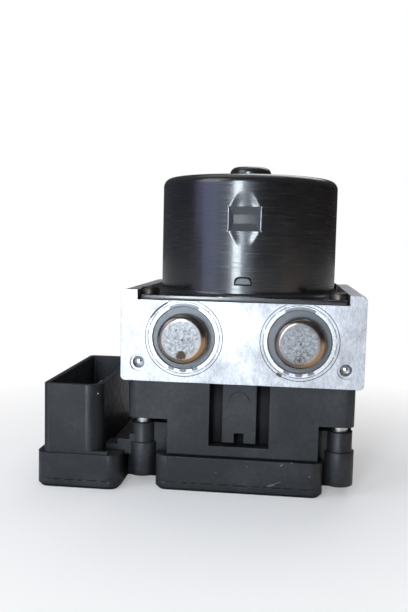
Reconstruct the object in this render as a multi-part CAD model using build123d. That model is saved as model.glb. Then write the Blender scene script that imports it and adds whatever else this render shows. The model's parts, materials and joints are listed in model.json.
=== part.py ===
from build123d import *
import math
import os

# An ABS brake module: electric pump motor on top, aluminium valve block in the middle, electronic control
# unit (ECU) with its connector shroud below. Millimetres. Z is the motor axis and points up, Z = 0 is the
# underside of the ECU cover, X runs along the block's length and -Y is the face with the two accumulators.

SIDES = {"left": -1, "right": 1}

# ---------- Clearances ----------
SEAT = 0.05          # radial gap round a part that sits still in its bore
RUNNING = 0.07       # radial gap of a sliding fit
FREE = 0.3           # gap between pieces that move past each other without a fit
BORE_GAP = 0.06      # radial gap round a screw's shank in its thread
OVERCUT = 1.0        # how far one body runs into or past another where the two are cut or joined
MATCH = 0.01         # how closely an edge has to match the radius and height asked for

# ---------- Coil springs ----------
SPRING_RUNS = 8      # straight runs in one turn
WIRE_SIDES = 4

# ---------- Valve block ----------
BLOCK_LENGTH = 100.0
BLOCK_DEPTH = 80.0
BLOCK_HEIGHT = 38.0
BLOCK_CORNER = 2.0
POCKET_DEPTH = 4.1           # milled seat of the motor flange, open to the front and the back
POCKET_CLEARANCE = 0.2       # between the flange's end and the seat's end
CHAMBER_RADIUS = 12.4        # cam chamber on the motor axis
CHAMBER_FLOOR_HEIGHT = 13.5  # above the block's underside
PUMP_HEIGHT = 20.0           # pump axis above the block's underside
TERMINAL_HOLE_RADIUS = 5.0
TERMINAL_HOLE_Y = -24.0
BRACKET_THREAD_RADIUS = 3.0  # M6
BRACKET_THREAD_DEPTH = 12.0
BRACKET_HOLE_Y = 20.0
BRACKET_HOLE_HEIGHTS = {"left": 18.0, "right": 20.0}   # above the block's underside

# ---------- Brake pipe ports in the rear face ----------
PORT_DEPTHS = (13.0, 13.5, 14.5, 14.0, 13.5, 13.0)  # each stops at its own gallery
PORT_PITCH = 15.5
PORT_HEIGHT = 18.0           # above the block's underside
WHEEL_PORT_RADIUS = 5.0      # M10 x 1
CYLINDER_PORT_RADIUS = 6.0   # M12 x 1, the middle two
PORT_LAND_RADIUS = 7.4
PORT_LAND_DEPTH = 0.6

# ---------- Accumulators in the front face ----------
ACCUMULATOR_X = 23.7
ACCUMULATOR_HEIGHT = 18.6    # axis above the block's underside
ACCUMULATOR_BORE = 11.0
ACCUMULATOR_DEPTH = 28.0
CAP_FLANGE_RADIUS = 12.9
CAP_FLANGE_THICKNESS = 1.2
CAP_SEAT_DEPTH = 1.9         # from the front face to the flange's seat
CAP_CUP_RADIUS = 10.3
CAP_CUP_HEIGHT = 7.6         # how far the cup stands out from its flange
CAP_CUP_CORNER = 2.6
CAP_WALL = 1.1
CAP_STAMP_RADIUS = 1.9
CAP_STAMP_DROP = 6.4
CAP_STAMP_DEPTH = 0.25
STAKE_SLOT_RADIUS = 14.0
STAKE_SLOT_WIDTH = 12.0
ACCUMULATOR_PISTON_LENGTH = 9.0
ACCUMULATOR_PISTON_WALL = 1.6
ACCUMULATOR_PISTON_FLOOR = 2.2
PISTON_SEAL_HEIGHT = 3.2     # groove's lower side above the piston's end
PISTON_SEAL_WIDTH = 2.0
PISTON_SEAL_DEPTH = 1.6
ACCUMULATOR_WIRE = 2.0
ACCUMULATOR_SPRING_TURNS = 5.5

# ---------- Ball plugs in the front face ----------
BALL_PLUG_X = 42.6
BALL_PLUG_HEIGHT = 7.6
BALL_RADIUS = 2.4
BALL_RECESS_RADIUS = 3.5
BALL_RECESS_DEPTH = 1.2
BALL_SUNK = 0.3              # ball's crown below the front face

# ---------- Pump ----------
PUMP_STROKE = 2.0
PUMP_BORE = 3.32
PUMP_CHAMBER_BORE = 5.8
PUMP_CHAMBER_START = 28.0    # distance from the motor axis
PISTON_LENGTH = 20.0
PISTON_FOOT_BEVEL = 0.65
PISTON_HEAD_RADIUS = 4.6
PISTON_HEAD_THICKNESS = 1.6
PLUG_HEAD_RADIUS = 7.0
PLUG_HEAD_THICKNESS = 3.0
PLUG_SHANK_LENGTH = 9.0
PLUG_POCKET_RADIUS = 3.7
PLUG_POCKET_DEPTH = 6.0
PLUG_SOCKET_RADIUS = 2.6
PLUG_SOCKET_DEPTH = 2.2
PUMP_WIRE = 0.9
PUMP_SPRING_TURNS = 5

# ---------- Solenoid valves ----------
VALVE_COLUMNS_X = (-33.0, -11.0, 11.0, 33.0)
VALVE_ROWS_Y = (-4.5, 13.0)
VALVE_BORE = 5.2
VALVE_BORE_DEPTH = 10.0
VALVE_COLLAR_HEIGHT = 3.0
VALVE_NECK_RADIUS = 3.9
DOME_RADIUS = 4.0
DOME_LENGTH = 23.0

# ---------- Solenoid coils ----------
COIL_YOKE = 16.0
COIL_HEIGHT = 26.0
COIL_PIN = 0.9
COIL_PIN_PITCH = 6.0

# ---------- Motor can ----------
CAN_RADIUS = 39.2
CAN_WALL = 2.2
CAN_HEIGHT = 52.2            # above the pocket floor
CAN_CORNER = 4.0
FOOT_FILLET = 2.0
FLANGE_LENGTH = 86.0
FLANGE_THICKNESS = 2.1
FLANGE_CORNER = 3.0
BEARING_BOSS_RADIUS = 9.3
BEARING_BOSS_HEIGHT = 5.8
BEARING_BOSS_CORNER = 3.0
MOTOR_SCREW_INSET_X = 4.0    # from the flange's end to the screw's axis
MOTOR_SCREW_INSET_Y = 6.0    # from the flange's front and back
MOTOR_SEAL_RADIUS = 35.6
MOTOR_SEAL_WIDTH = 2.2
MOTOR_SEAL_DEPTH = 1.4

# Pressed pockets that hold the magnets apart, front and back
STOP_WIDTH = 13.2
STOP_HEIGHT = 10.4
STOP_FLOOR_WIDTH = 9.4
STOP_FLOOR_HEIGHT = 4.2
STOP_DEPTH = 2.6
STOP_CENTRE_HEIGHT = 33.8    # above the pocket floor
STOP_FLARE_LENGTH = 6.4
STOP_FLARE_DEPTH = 1.1
STOP_FLARE_TIP = 1.2         # width of the flare where it runs out
STOP_FLARE_LAP = 0.2         # how far a flare runs into the pocket
STOP_SKIN = 0.1              # least depth of a cutting body outside the can's wall

# Small stamped mark low on the can's front
MARK_WIDTH = 7.0
MARK_HEIGHT = 3.4
MARK_CROWN = 1.5             # rise of the arched top
MARK_LINE = 0.6
MARK_DEPTH = 0.3
MARK_ABOVE_FLOOR = 6.9

# ---------- Motor inside ----------
FRONT_BEARING_RADIUS = 13.0  # 6000: 10 x 26 x 8
FRONT_BEARING_WIDTH = 8.0
SHAFT_RADIUS = 5.0
REAR_BEARING_RADIUS = 7.0    # 605: 5 x 14 x 5
REAR_BEARING_WIDTH = 5.0
SHAFT_TAIL_RADIUS = 2.5
ECCENTRIC_RADIUS = 5.5
ECCENTRIC_OFFSET = PUMP_STROKE / 2
ECCENTRIC_LENGTH = 9.0
ECCENTRIC_RING_RADIUS = 9.0
BRUSH_PLATE_THICKNESS = 3.0
BRUSH_PLATE_HOLE = 7.0       # radius round the shaft
TERMINAL_MAST_END = 6.0      # mast stops this far below the block's underside
TERMINAL_WIDTH = 2.4
TERMINAL_THICKNESS = 0.8
TERMINAL_PITCH = 5.0
TERMINAL_STUB = 2.0          # how far a blade stands above the brush plate
COMMUTATOR_RADIUS = 11.0
COMMUTATOR_HEIGHT = 14.0
COMMUTATOR_BARS = 11
COMMUTATOR_GAP = 0.6
COMMUTATOR_GAP_DEPTH = 1.0
CORE_RADIUS = 27.3
CORE_HEIGHT = 25.0
CORE_HEIGHT_ABOVE_FLOOR = 18.0
TOOTH_TIP = 2.0
SLOT_MOUTH = 2.2
SLOT_WIDTH = 5.0
SLOT_FLOOR_RADIUS = 13.5
WINDING_INNER_RADIUS = 12.0
WINDING_OUTER_RADIUS = 25.0
WINDING_OVERHANG = 5.0
MAGNET_INNER_RADIUS = 28.1
MAGNET_SPAN = 142.0          # degrees
MAGNET_HEIGHT = 29.0
BRUSH_WIDTH = 6.4
BRUSH_HEIGHT = 5.0
BRUSH_LENGTH = 9.0
BRUSH_GUIDE_WALL = 1.4
BRUSH_GUIDE_START = 12.6
BRUSH_SPRING_SPACE = 6.5
BRUSH_WIRE = 0.5
BRUSH_SPRING_TURNS = 5

# ---------- ECU ----------
COVER_THICKNESS = 3.8
COVER_FLOOR = 2.2
COVER_EDGE = 1.4
COVER_LIP_HEIGHT = 1.6
COVER_LIP_WALL = 1.4
PAN_WALL_HEIGHT = 11.0
PAN_WALL = 2.4
PAN_NECK_HEIGHT = 0.9
PAN_NECK_INSET = 1.4
PAN_FLOOR = 2.5
PAN_CORNER = 5.0
COIL_BOX_HEIGHT = 30.3
COIL_BOX_LENGTH = 94.2
COIL_BOX_CORNER = 4.0
COIL_BOX_WALL = 2.4
FRONT_PAN_LENGTH = 70.0      # bulge between the screw columns
FRONT_PAN_DEPTH = 82.0
CORNER_RECESS_STARTS = {"left": 29.9, "right": 32.6}
CORNER_RECESS_Y = 24.4
CORNER_RECESS_TOP = 30.2
GASKET_WIDTH = 1.2
GASKET_DEPTH = 0.9

# Screw columns in the four corner recesses
COLUMN_X = 41.6
COLUMN_Y = 31.0
COLUMN_FOOT = 4.4
COLUMN_WEB = 4.0
LOWER_COLUMN_RADIUS = 6.3
LOWER_COLUMN_TOP = 18.6
UPPER_COLUMN_RADIUS = 5.4
UPPER_COLUMN_TOP = 26.9
SLEEVE_RADIUS = 3.4
SLEEVE_WALL = 1.2
SCREW_SEAT_DEPTH = 3.2

# Recessed channel in the coil box's front wall
CHANNEL_WIDTH = 24.8
CHANNEL_FOOT = 19.8
PANEL_WIDTH = 14.0
PANEL_FOOT = 21.3
PANEL_INSET = 1.0
CHANNEL_DEPTH = 7.5
NOTCH_WIDTH = 4.0
NOTCH_TOP = 25.4
ARCH_RADIUS = 4.6
ARCH_TOP = 42.9
ARCH_LINE = 0.5
ARCH_DEPTH = 0.2

# Connector shroud and the pan below it
SHROUD_LEFT = -81.8
SHROUD_RIGHT = -57.3
SHROUD_FRONT = -44.2
SHROUD_REAR = 31.0
SHROUD_RIM = 44.0
SHROUD_WALL = 2.0
SHROUD_CORNER = 2.4
SHROUD_INNER_CORNER = 6.5    # the two corners on the coil box's side
SHROUD_FLOOR = 20.0
SIDE_PAN_LEFT = -84.7
SIDE_PAN_RIGHT = -49.0
SIDE_PAN_FRONT = -45.4
SIDE_PAN_REAR = 33.0
PAN_STRIP_HEIGHT = 1.2
PAN_STRIP_DEPTH = 2.4
GUSSET_STEPS = 3
GUSSET_STEP_HEIGHT = 2.4
GUSSET_DEPTH = 9.0

# Circuit board, pin carrier and connector pins
BOARD_THICKNESS = 1.6
BOARD_HEIGHT = 7.2
BOARD_GAP = 0.5
STANDOFF_RADIUS = 1.6
STANDOFF_X = 26.0
STANDOFF_Y = 34.0
CARRIER_THICKNESS = 4.0
CARRIER_MARGIN = 1.2         # from the shroud's inner wall to the carrier's edge
CARRIER_LEDGE = 1.2          # width of the ledge that carries it
PIN_SIZE = 0.9
PIN_COLUMNS = 3
PIN_ROWS = 11
PIN_PITCH = 3.9
PIN_ROW_START = -19.0
PIN_TOP = 33.0
BLADE_WIDTH = 6.3
BLADE_THICKNESS = 0.9
BLADE_PITCH = 8.4
BLADE_ROW_START = -36.5
BLADE_ROWS = 2
CHIP_HEIGHT = 1.8
CONTROLLER_SIZE = 20.0
DRIVER_SIZE = 12.0
DRIVER_PITCH = 17.0
CHIP_Y = 28.0

# ---------- Screws ----------
MOTOR_THREAD_RADIUS = 2.5    # M5
MOTOR_THREAD_DEPTH = 9.0
MOTOR_HEAD_RADIUS = 3.9
MOTOR_HEAD_HEIGHT = 2.8
ECU_THREAD_RADIUS = 2.0      # M4
ECU_THREAD_DEPTH = 8.0
ECU_HEAD_RADIUS = 3.7
ECU_HEAD_HEIGHT = 2.6
DRIVE_DEPTH_SHARE = 0.55     # drive recess depth as a share of the head's height
DRIVE_WIDTH_SHARE = 0.5

# ---------- Levels and faces that follow from the sizes above ----------
PAN_TOP = COVER_THICKNESS + PAN_WALL_HEIGHT
COIL_BOX_BOTTOM = PAN_TOP + PAN_NECK_HEIGHT
BLOCK_BOTTOM = COIL_BOX_BOTTOM + COIL_BOX_HEIGHT
BLOCK_TOP = BLOCK_BOTTOM + BLOCK_HEIGHT
POCKET_FLOOR = BLOCK_TOP - POCKET_DEPTH
FLANGE_TOP = POCKET_FLOOR + FLANGE_THICKNESS
CAN_TOP = POCKET_FLOOR + CAN_HEIGHT
BOSS_TOP = CAN_TOP + BEARING_BOSS_HEIGHT
CAN_INNER_RADIUS = CAN_RADIUS - CAN_WALL
BLOCK_FRONT = -BLOCK_DEPTH / 2
BLOCK_REAR = BLOCK_DEPTH / 2
CHAMBER_FLOOR = BLOCK_BOTTOM + CHAMBER_FLOOR_HEIGHT
PUMP_AXIS_Z = BLOCK_BOTTOM + PUMP_HEIGHT
PORT_AXIS_Z = BLOCK_BOTTOM + PORT_HEIGHT
ACCUMULATOR_Z = BLOCK_BOTTOM + ACCUMULATOR_HEIGHT
BALL_Z = BLOCK_BOTTOM + BALL_PLUG_HEIGHT
POCKET_LENGTH = FLANGE_LENGTH + 2 * POCKET_CLEARANCE
MOTOR_SCREW_X = FLANGE_LENGTH / 2 - MOTOR_SCREW_INSET_X
MOTOR_SCREW_Y = BLOCK_DEPTH / 2 - MOTOR_SCREW_INSET_Y
PORT_COUNT = len(PORT_DEPTHS)
BOARD_TOP = BOARD_HEIGHT + BOARD_THICKNESS
PAN_CEILING = COIL_BOX_BOTTOM - PAN_FLOOR
CORE_BOTTOM = POCKET_FLOOR + CORE_HEIGHT_ABOVE_FLOOR
CORE_TOP = CORE_BOTTOM + CORE_HEIGHT
BRUSH_PLATE_TOP = POCKET_FLOOR + BRUSH_PLATE_THICKNESS
REAR_BEARING_TOP = BOSS_TOP - CAN_WALL
REAR_BEARING_BOTTOM = REAR_BEARING_TOP - REAR_BEARING_WIDTH
PISTON_FOOT = ECCENTRIC_RING_RADIUS + ECCENTRIC_OFFSET + FREE


# ---------- Construction helpers ----------
def slab(x0, x1, y0, y1, z0, z1):
    """Box between two opposite corners."""
    centre = Pos((x0 + x1) / 2, (y0 + y1) / 2, (z0 + z1) / 2)
    return centre * Box(x1 - x0, y1 - y0, z1 - z0)


def post(x0, x1, y0, y1, z0, z1, *radii):
    """Upright box whose four vertical corners are rounded, in the order front left, front right, rear
    right, rear left, or all alike where one radius is given."""
    corners = [(x0, y0), (x1, y0), (x1, y1), (x0, y1)]
    rounding = radii if len(radii) == len(corners) else radii * len(corners)
    outline = make_face(FilletPolyline(*corners, radius=rounding, close=True))
    return Pos(0, 0, z0) * extrude(outline, z1 - z0)


def disc(radius, z0, z1, x=0.0, y=0.0):
    """Round bar along Z."""
    return Pos(x, y, (z0 + z1) / 2) * Cylinder(radius, z1 - z0)


def rod_x(radius, x0, x1, y, z):
    """Round bar along X."""
    return Pos((x0 + x1) / 2, y, z) * Rot(0, 90, 0) * Cylinder(radius, abs(x1 - x0))


def rod_y(radius, y0, y1, x, z):
    """Round bar along Y."""
    return Pos(x, (y0 + y1) / 2, z) * Rot(90, 0, 0) * Cylinder(radius, abs(y1 - y0))


def turned(*profile):
    """Solid of revolution about Z from its corners, each given as radius and height."""
    outline = Polyline(*[(radius, 0, height) for radius, height in profile], close=True)
    return revolve(make_face(outline), Axis.Z)


def circle_edges(shape, radius, height):
    """The circular edges about Z with this radius and height."""
    return [
        edge
        for edge in shape.edges().filter_by(GeomType.CIRCLE)
        if abs(edge.radius - radius) < MATCH and abs(edge.center().Z - height) < MATCH
    ]


def coil_spring(mean_radius, wire, turns, length):
    """Compression spring standing on Z = 0, its wire bent in short straight runs to stay light."""
    runs = round(turns * SPRING_RUNS)
    bends = []
    for bend in range(runs + 1):
        angle = bend * 2 * math.pi / SPRING_RUNS
        height = wire / 2 + (length - wire) * bend / runs
        bends.append((mean_radius * math.cos(angle), mean_radius * math.sin(angle), height))
    path = Polyline(*bends)
    section = Plane(path @ 0, z_dir=path % 0) * RegularPolygon(wire / 2, WIRE_SIDES)
    return sweep(section, path=path, transition=Transition.RIGHT)


def cheese_head_screw(head_radius, head_height, shank_radius, shank_length):
    """Screw with its head's underside at Z = 0, its shank below and its drive recess above."""
    screw = disc(shank_radius, -shank_length, 0) + disc(head_radius, 0, head_height)
    drive_depth = head_height * DRIVE_DEPTH_SHARE
    drive = extrude(RegularPolygon(head_radius * DRIVE_WIDTH_SHARE, 6), drive_depth)
    return screw - Pos(0, 0, head_height - drive_depth) * drive


def ring(outer, inner, z0, z1):
    """Plain ring about Z, such as a shielded ball bearing."""
    return disc(outer, z0, z1) - disc(inner, z0, z1)


def port_radius(index):
    """Thread radius of a brake pipe port: the middle two are the master cylinder's."""
    middle = (PORT_COUNT - 1) / 2
    return CYLINDER_PORT_RADIUS if abs(index - middle) < 1 else WHEEL_PORT_RADIUS


def port_x(index):
    return (index - (PORT_COUNT - 1) / 2) * PORT_PITCH


def valve_positions():
    """Centres of the eight valves, row by row."""
    return [(x, y) for y in VALVE_ROWS_Y for x in VALVE_COLUMNS_X]


def column_positions():
    return [(sx * COLUMN_X, sy * COLUMN_Y) for sx in (-1, 1) for sy in (-1, 1)]


def motor_screw_positions():
    return [(sx * MOTOR_SCREW_X, sy * MOTOR_SCREW_Y) for sx in (-1, 1) for sy in (-1, 1)]


# ---------- Valve block ----------
def block_blank():
    """Extruded bar with its flange seat milled across the top."""
    outline = Plane.XZ * RectangleRounded(BLOCK_LENGTH, BLOCK_HEIGHT, BLOCK_CORNER)
    bar = Pos(0, BLOCK_REAR, BLOCK_BOTTOM + BLOCK_HEIGHT / 2) * extrude(outline, BLOCK_DEPTH)
    seat = slab(
        -POCKET_LENGTH / 2,
        POCKET_LENGTH / 2,
        BLOCK_FRONT - OVERCUT,
        BLOCK_REAR + OVERCUT,
        POCKET_FLOOR,
        BLOCK_TOP + OVERCUT,
    )
    return bar - seat


def motor_bores():
    """Bearing seat, cam chamber, terminal passage and motor screw threads, all open to the flange seat."""
    bearing_seat = disc(FRONT_BEARING_RADIUS + SEAT, POCKET_FLOOR - FRONT_BEARING_WIDTH, POCKET_FLOOR)
    chamber = disc(CHAMBER_RADIUS, CHAMBER_FLOOR, POCKET_FLOOR)
    passage = disc(TERMINAL_HOLE_RADIUS, BLOCK_BOTTOM, POCKET_FLOOR, 0, TERMINAL_HOLE_Y)
    threads = [
        disc(MOTOR_THREAD_RADIUS, POCKET_FLOOR - MOTOR_THREAD_DEPTH, POCKET_FLOOR, x, y)
        for x, y in motor_screw_positions()
    ]
    return [bearing_seat, chamber, passage, seal_ring(0)] + threads


def pump_bores(side):
    """Stepped pump bore from the side face to the cam chamber."""
    face = BLOCK_LENGTH / 2
    guide = rod_x(PUMP_BORE, side * (CHAMBER_RADIUS - OVERCUT), side * face, 0, PUMP_AXIS_Z)
    chamber = rod_x(PUMP_CHAMBER_BORE, side * PUMP_CHAMBER_START, side * face, 0, PUMP_AXIS_Z)
    head_seat = rod_x(
        PLUG_HEAD_RADIUS + SEAT, side * (face - PLUG_HEAD_THICKNESS), side * face, 0, PUMP_AXIS_Z
    )
    return [guide, chamber, head_seat]


def accumulator_bores(side):
    """Bore, cap seat and the two stake slots of one accumulator."""
    x = side * ACCUMULATOR_X
    bore = rod_y(ACCUMULATOR_BORE, BLOCK_FRONT, BLOCK_FRONT + ACCUMULATOR_DEPTH, x, ACCUMULATOR_Z)
    seat_end = BLOCK_FRONT + CAP_SEAT_DEPTH
    seat = rod_y(CAP_FLANGE_RADIUS + SEAT, BLOCK_FRONT, seat_end, x, ACCUMULATOR_Z)
    slot_band = slab(
        x - STAKE_SLOT_WIDTH / 2,
        x + STAKE_SLOT_WIDTH / 2,
        BLOCK_FRONT,
        seat_end,
        ACCUMULATOR_Z - STAKE_SLOT_RADIUS,
        ACCUMULATOR_Z + STAKE_SLOT_RADIUS,
    )
    slots = slot_band & rod_y(STAKE_SLOT_RADIUS, BLOCK_FRONT, seat_end, x, ACCUMULATOR_Z)
    return [bore, seat, slots]


def ball_centre_y():
    return BLOCK_FRONT + BALL_SUNK + BALL_RADIUS


def ball_bores(side):
    """Countersunk recess and seat bore of one ball plug."""
    x = side * BALL_PLUG_X
    recess = rod_y(BALL_RECESS_RADIUS, BLOCK_FRONT, BLOCK_FRONT + BALL_RECESS_DEPTH, x, BALL_Z)
    seat = rod_y(BALL_RADIUS + SEAT, BLOCK_FRONT, ball_centre_y() + BALL_RADIUS, x, BALL_Z)
    return [recess, seat]


def port_bores(index):
    """Spot face and threaded bore of one brake pipe port."""
    radius = port_radius(index)
    x = port_x(index)
    land = rod_y(PORT_LAND_RADIUS, BLOCK_REAR - PORT_LAND_DEPTH, BLOCK_REAR, x, PORT_AXIS_Z)
    bore = rod_y(radius, BLOCK_REAR - PORT_DEPTHS[index], BLOCK_REAR, x, PORT_AXIS_Z)
    return [land, bore]


def valve_block():
    """The machined aluminium block."""
    cuts = motor_bores()
    for name, side in SIDES.items():
        cuts += pump_bores(side) + accumulator_bores(side) + ball_bores(side)
        face = side * BLOCK_LENGTH / 2
        hole_z = BLOCK_BOTTOM + BRACKET_HOLE_HEIGHTS[name]
        for y in (-BRACKET_HOLE_Y, BRACKET_HOLE_Y):
            hole_end = face - side * BRACKET_THREAD_DEPTH
            cuts.append(rod_x(BRACKET_THREAD_RADIUS, hole_end, face, y, hole_z))
    for index in range(PORT_COUNT):
        cuts += port_bores(index)
    for x, y in valve_positions():
        cuts.append(disc(VALVE_BORE, BLOCK_BOTTOM, BLOCK_BOTTOM + VALVE_BORE_DEPTH, x, y))
    for x, y in column_positions():
        cuts.append(disc(ECU_THREAD_RADIUS, BLOCK_BOTTOM, BLOCK_BOTTOM + ECU_THREAD_DEPTH, x, y))
    return block_blank() - cuts


def ball_plugs():
    """Domed steel plugs pressed into the ends of two cross drillings."""
    dome = Sphere(BALL_RADIUS, arc_size1=0)
    return Part() + [
        Pos(side * BALL_PLUG_X, ball_centre_y(), BALL_Z) * Rot(90, 0, 0) * dome for side in SIDES.values()
    ]


# ---------- Accumulators ----------
def along_y(shape, x):
    """Place a piece turned about Z so that its +Z points out of the block's front face, origin on it."""
    return Pos(x, BLOCK_FRONT, ACCUMULATOR_Z) * Rot(90, 0, 0) * shape


def cap_crown_height():
    """Outer face of the cap's crown, measured out of the block's front face."""
    return -CAP_SEAT_DEPTH + CAP_FLANGE_THICKNESS + CAP_CUP_HEIGHT


def accumulator_piston_floor():
    """Inner floor of the piston's cup, measured out of the block's front face."""
    return -ACCUMULATOR_DEPTH + ACCUMULATOR_PISTON_FLOOR


def accumulator_cap(side):
    """Drawn steel cap: a flange and a cup that stands out of the block."""
    flange_bottom = -CAP_SEAT_DEPTH
    flange_top = flange_bottom + CAP_FLANGE_THICKNESS
    crown = cap_crown_height()
    cup = disc(CAP_CUP_RADIUS, flange_bottom, crown)
    cup = fillet(circle_edges(cup, CAP_CUP_RADIUS, crown), CAP_CUP_CORNER)
    cap = disc(CAP_FLANGE_RADIUS, flange_bottom, flange_top) + cup
    hollow = disc(CAP_CUP_RADIUS - CAP_WALL, flange_bottom, crown - CAP_WALL)
    stamp = disc(CAP_STAMP_RADIUS, crown - CAP_STAMP_DEPTH, crown, 0, -CAP_STAMP_DROP)
    return along_y(cap - hollow - stamp, side * ACCUMULATOR_X)


def accumulator_piston(side):
    """Cup-shaped piston at the bottom of its bore, with a groove for its seal."""
    radius = ACCUMULATOR_BORE - RUNNING
    bottom = -ACCUMULATOR_DEPTH
    top = bottom + ACCUMULATOR_PISTON_LENGTH
    middle = bottom + PISTON_SEAL_HEIGHT
    outer = disc(radius, bottom, top)
    hollow = disc(radius - PISTON_SEAL_DEPTH - ACCUMULATOR_PISTON_WALL, accumulator_piston_floor(), top)
    groove = ring(radius, radius - PISTON_SEAL_DEPTH, middle, middle + PISTON_SEAL_WIDTH)
    return along_y(outer - hollow - groove, side * ACCUMULATOR_X)


def accumulator_seal(side):
    """Seal ring in the piston's groove."""
    radius = ACCUMULATOR_BORE - RUNNING
    z0 = -ACCUMULATOR_DEPTH + PISTON_SEAL_HEIGHT + SEAT
    z1 = z0 + PISTON_SEAL_WIDTH - 2 * SEAT
    seal = ring(radius, radius - PISTON_SEAL_DEPTH + SEAT, z0, z1)
    return along_y(seal, side * ACCUMULATOR_X)


def accumulator_spring(side):
    """Compression spring between the piston's floor and the cap's crown."""
    room = ACCUMULATOR_BORE - RUNNING - PISTON_SEAL_DEPTH - ACCUMULATOR_PISTON_WALL - FREE
    floor = accumulator_piston_floor()
    length = cap_crown_height() - CAP_WALL - floor
    spring = coil_spring(room - ACCUMULATOR_WIRE / 2, ACCUMULATOR_WIRE, ACCUMULATOR_SPRING_TURNS, length)
    return along_y(Pos(0, 0, floor) * spring, side * ACCUMULATOR_X)


# ---------- Pump ----------
def along_x(shape, side):
    """Place a piece turned about Z, with its +Z out of the side face and its origin on the motor axis."""
    return Pos(0, 0, PUMP_AXIS_Z) * Rot(0, side * 90, 0) * shape


def plug_pocket_floor():
    """Distance from the motor axis to the floor of the plug's spring pocket."""
    return BLOCK_LENGTH / 2 - PLUG_HEAD_THICKNESS - PLUG_SHANK_LENGTH + PLUG_POCKET_DEPTH


def pump_piston(side):
    """Plunger with a spring head, its foot next to the eccentric's ring."""
    end = PISTON_FOOT + PISTON_LENGTH
    radius = PUMP_BORE - RUNNING
    piston = turned(
        (0, PISTON_FOOT),
        (radius - PISTON_FOOT_BEVEL, PISTON_FOOT),
        (radius, PISTON_FOOT + PISTON_FOOT_BEVEL),
        (radius, end - PISTON_HEAD_THICKNESS),
        (PISTON_HEAD_RADIUS, end - PISTON_HEAD_THICKNESS),
        (PISTON_HEAD_RADIUS, end),
        (0, end),
    )
    return along_x(piston, side)


def pump_spring(side):
    """Return spring between the plunger's head and the plug."""
    start = PISTON_FOOT + PISTON_LENGTH
    mean_radius = PLUG_POCKET_RADIUS - FREE / 2 - PUMP_WIRE / 2
    spring = coil_spring(mean_radius, PUMP_WIRE, PUMP_SPRING_TURNS, plug_pocket_floor() - start)
    return along_x(Pos(0, 0, start) * spring, side)


def pump_plug(side):
    """Pump end plug with its spring pocket and a drive socket in its head."""
    face = BLOCK_LENGTH / 2
    head_bottom = face - PLUG_HEAD_THICKNESS
    shank = disc(PUMP_CHAMBER_BORE - SEAT, head_bottom - PLUG_SHANK_LENGTH, head_bottom)
    head = disc(PLUG_HEAD_RADIUS, head_bottom, face)
    pocket = disc(PLUG_POCKET_RADIUS, head_bottom - PLUG_SHANK_LENGTH, plug_pocket_floor())
    socket = Pos(0, 0, face - PLUG_SOCKET_DEPTH) * extrude(
        RegularPolygon(PLUG_SOCKET_RADIUS, 6), PLUG_SOCKET_DEPTH
    )
    return along_x(shank + head - pocket - socket, side)


# ---------- Solenoid valves ----------
def valve(x, y):
    """Sealed valve cartridge: neck and staked collar in the block, armature dome below it."""
    shoulder = BLOCK_BOTTOM + VALVE_COLLAR_HEIGHT
    dome = disc(DOME_RADIUS, BLOCK_BOTTOM - DOME_LENGTH, BLOCK_BOTTOM, x, y)
    collar = disc(VALVE_BORE - SEAT, BLOCK_BOTTOM, shoulder, x, y)
    return dome + collar + disc(VALVE_NECK_RADIUS, shoulder, BLOCK_BOTTOM + VALVE_BORE_DEPTH - SEAT, x, y)


def solenoid_coil(x, y):
    """Coil in its square steel yoke on the coil box's floor, with two contact pins down to the board."""
    bottom = COIL_BOX_BOTTOM
    half_yoke = COIL_YOKE / 2
    coil = slab(-half_yoke, half_yoke, -half_yoke, half_yoke, bottom, bottom + COIL_HEIGHT)
    coil -= disc(DOME_RADIUS + FREE / 2, bottom, bottom + COIL_HEIGHT)
    half_pin = COIL_PIN / 2
    for centre in (-COIL_PIN_PITCH, COIL_PIN_PITCH):
        coil += slab(centre - half_pin, centre + half_pin, -half_pin, half_pin, BOARD_TOP, bottom)
    return Pos(x, y, 0) * coil


def solenoid_coils(row):
    """The four coils of one valve row."""
    return Part() + [solenoid_coil(x, VALVE_ROWS_Y[row]) for x in VALVE_COLUMNS_X]


# ---------- Motor can ----------
def rectangle_at(width, height, y, z):
    """Upright rectangle facing the front, at depth y and height z."""
    return Plane((0, y, z), x_dir=(1, 0, 0), z_dir=(0, -1, 0)) * Rectangle(width, height)


def stop_pocket():
    """The front magnet stop: the wall's pressed-in bump and the recess that faces out, as two solids."""
    z = POCKET_FLOOR + STOP_CENTRE_HEIGHT
    mouth_y = -CAN_RADIUS - 4 * STOP_SKIN
    floor_y = -CAN_RADIUS + STOP_DEPTH
    recess = loft(
        [
            rectangle_at(STOP_WIDTH, STOP_HEIGHT, mouth_y, z),
            rectangle_at(STOP_FLOOR_WIDTH, STOP_FLOOR_HEIGHT, floor_y, z),
        ]
    )
    grown = 2 * CAN_WALL
    bump = loft(
        [
            rectangle_at(STOP_WIDTH + grown, STOP_HEIGHT + grown, -CAN_INNER_RADIUS - CAN_WALL / 4, z),
            rectangle_at(STOP_FLOOR_WIDTH + grown, STOP_FLOOR_HEIGHT + grown, floor_y + CAN_WALL, z),
        ]
    )
    return bump, recess


def stop_flare(direction):
    """Shallow flare that runs out of the stop pocket, upwards or downwards."""
    z = POCKET_FLOOR + STOP_CENTRE_HEIGHT + direction * (STOP_HEIGHT / 2 - STOP_FLARE_LAP)
    wide = Pos(0, -CAN_RADIUS, z) * Ellipse(STOP_WIDTH / 2, STOP_FLARE_DEPTH)
    tip = Pos(0, -CAN_RADIUS - STOP_SKIN / 2, z + direction * STOP_FLARE_LENGTH)
    narrow = tip * Ellipse(STOP_FLARE_TIP / 2, STOP_SKIN)
    return loft([wide, narrow])


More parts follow.
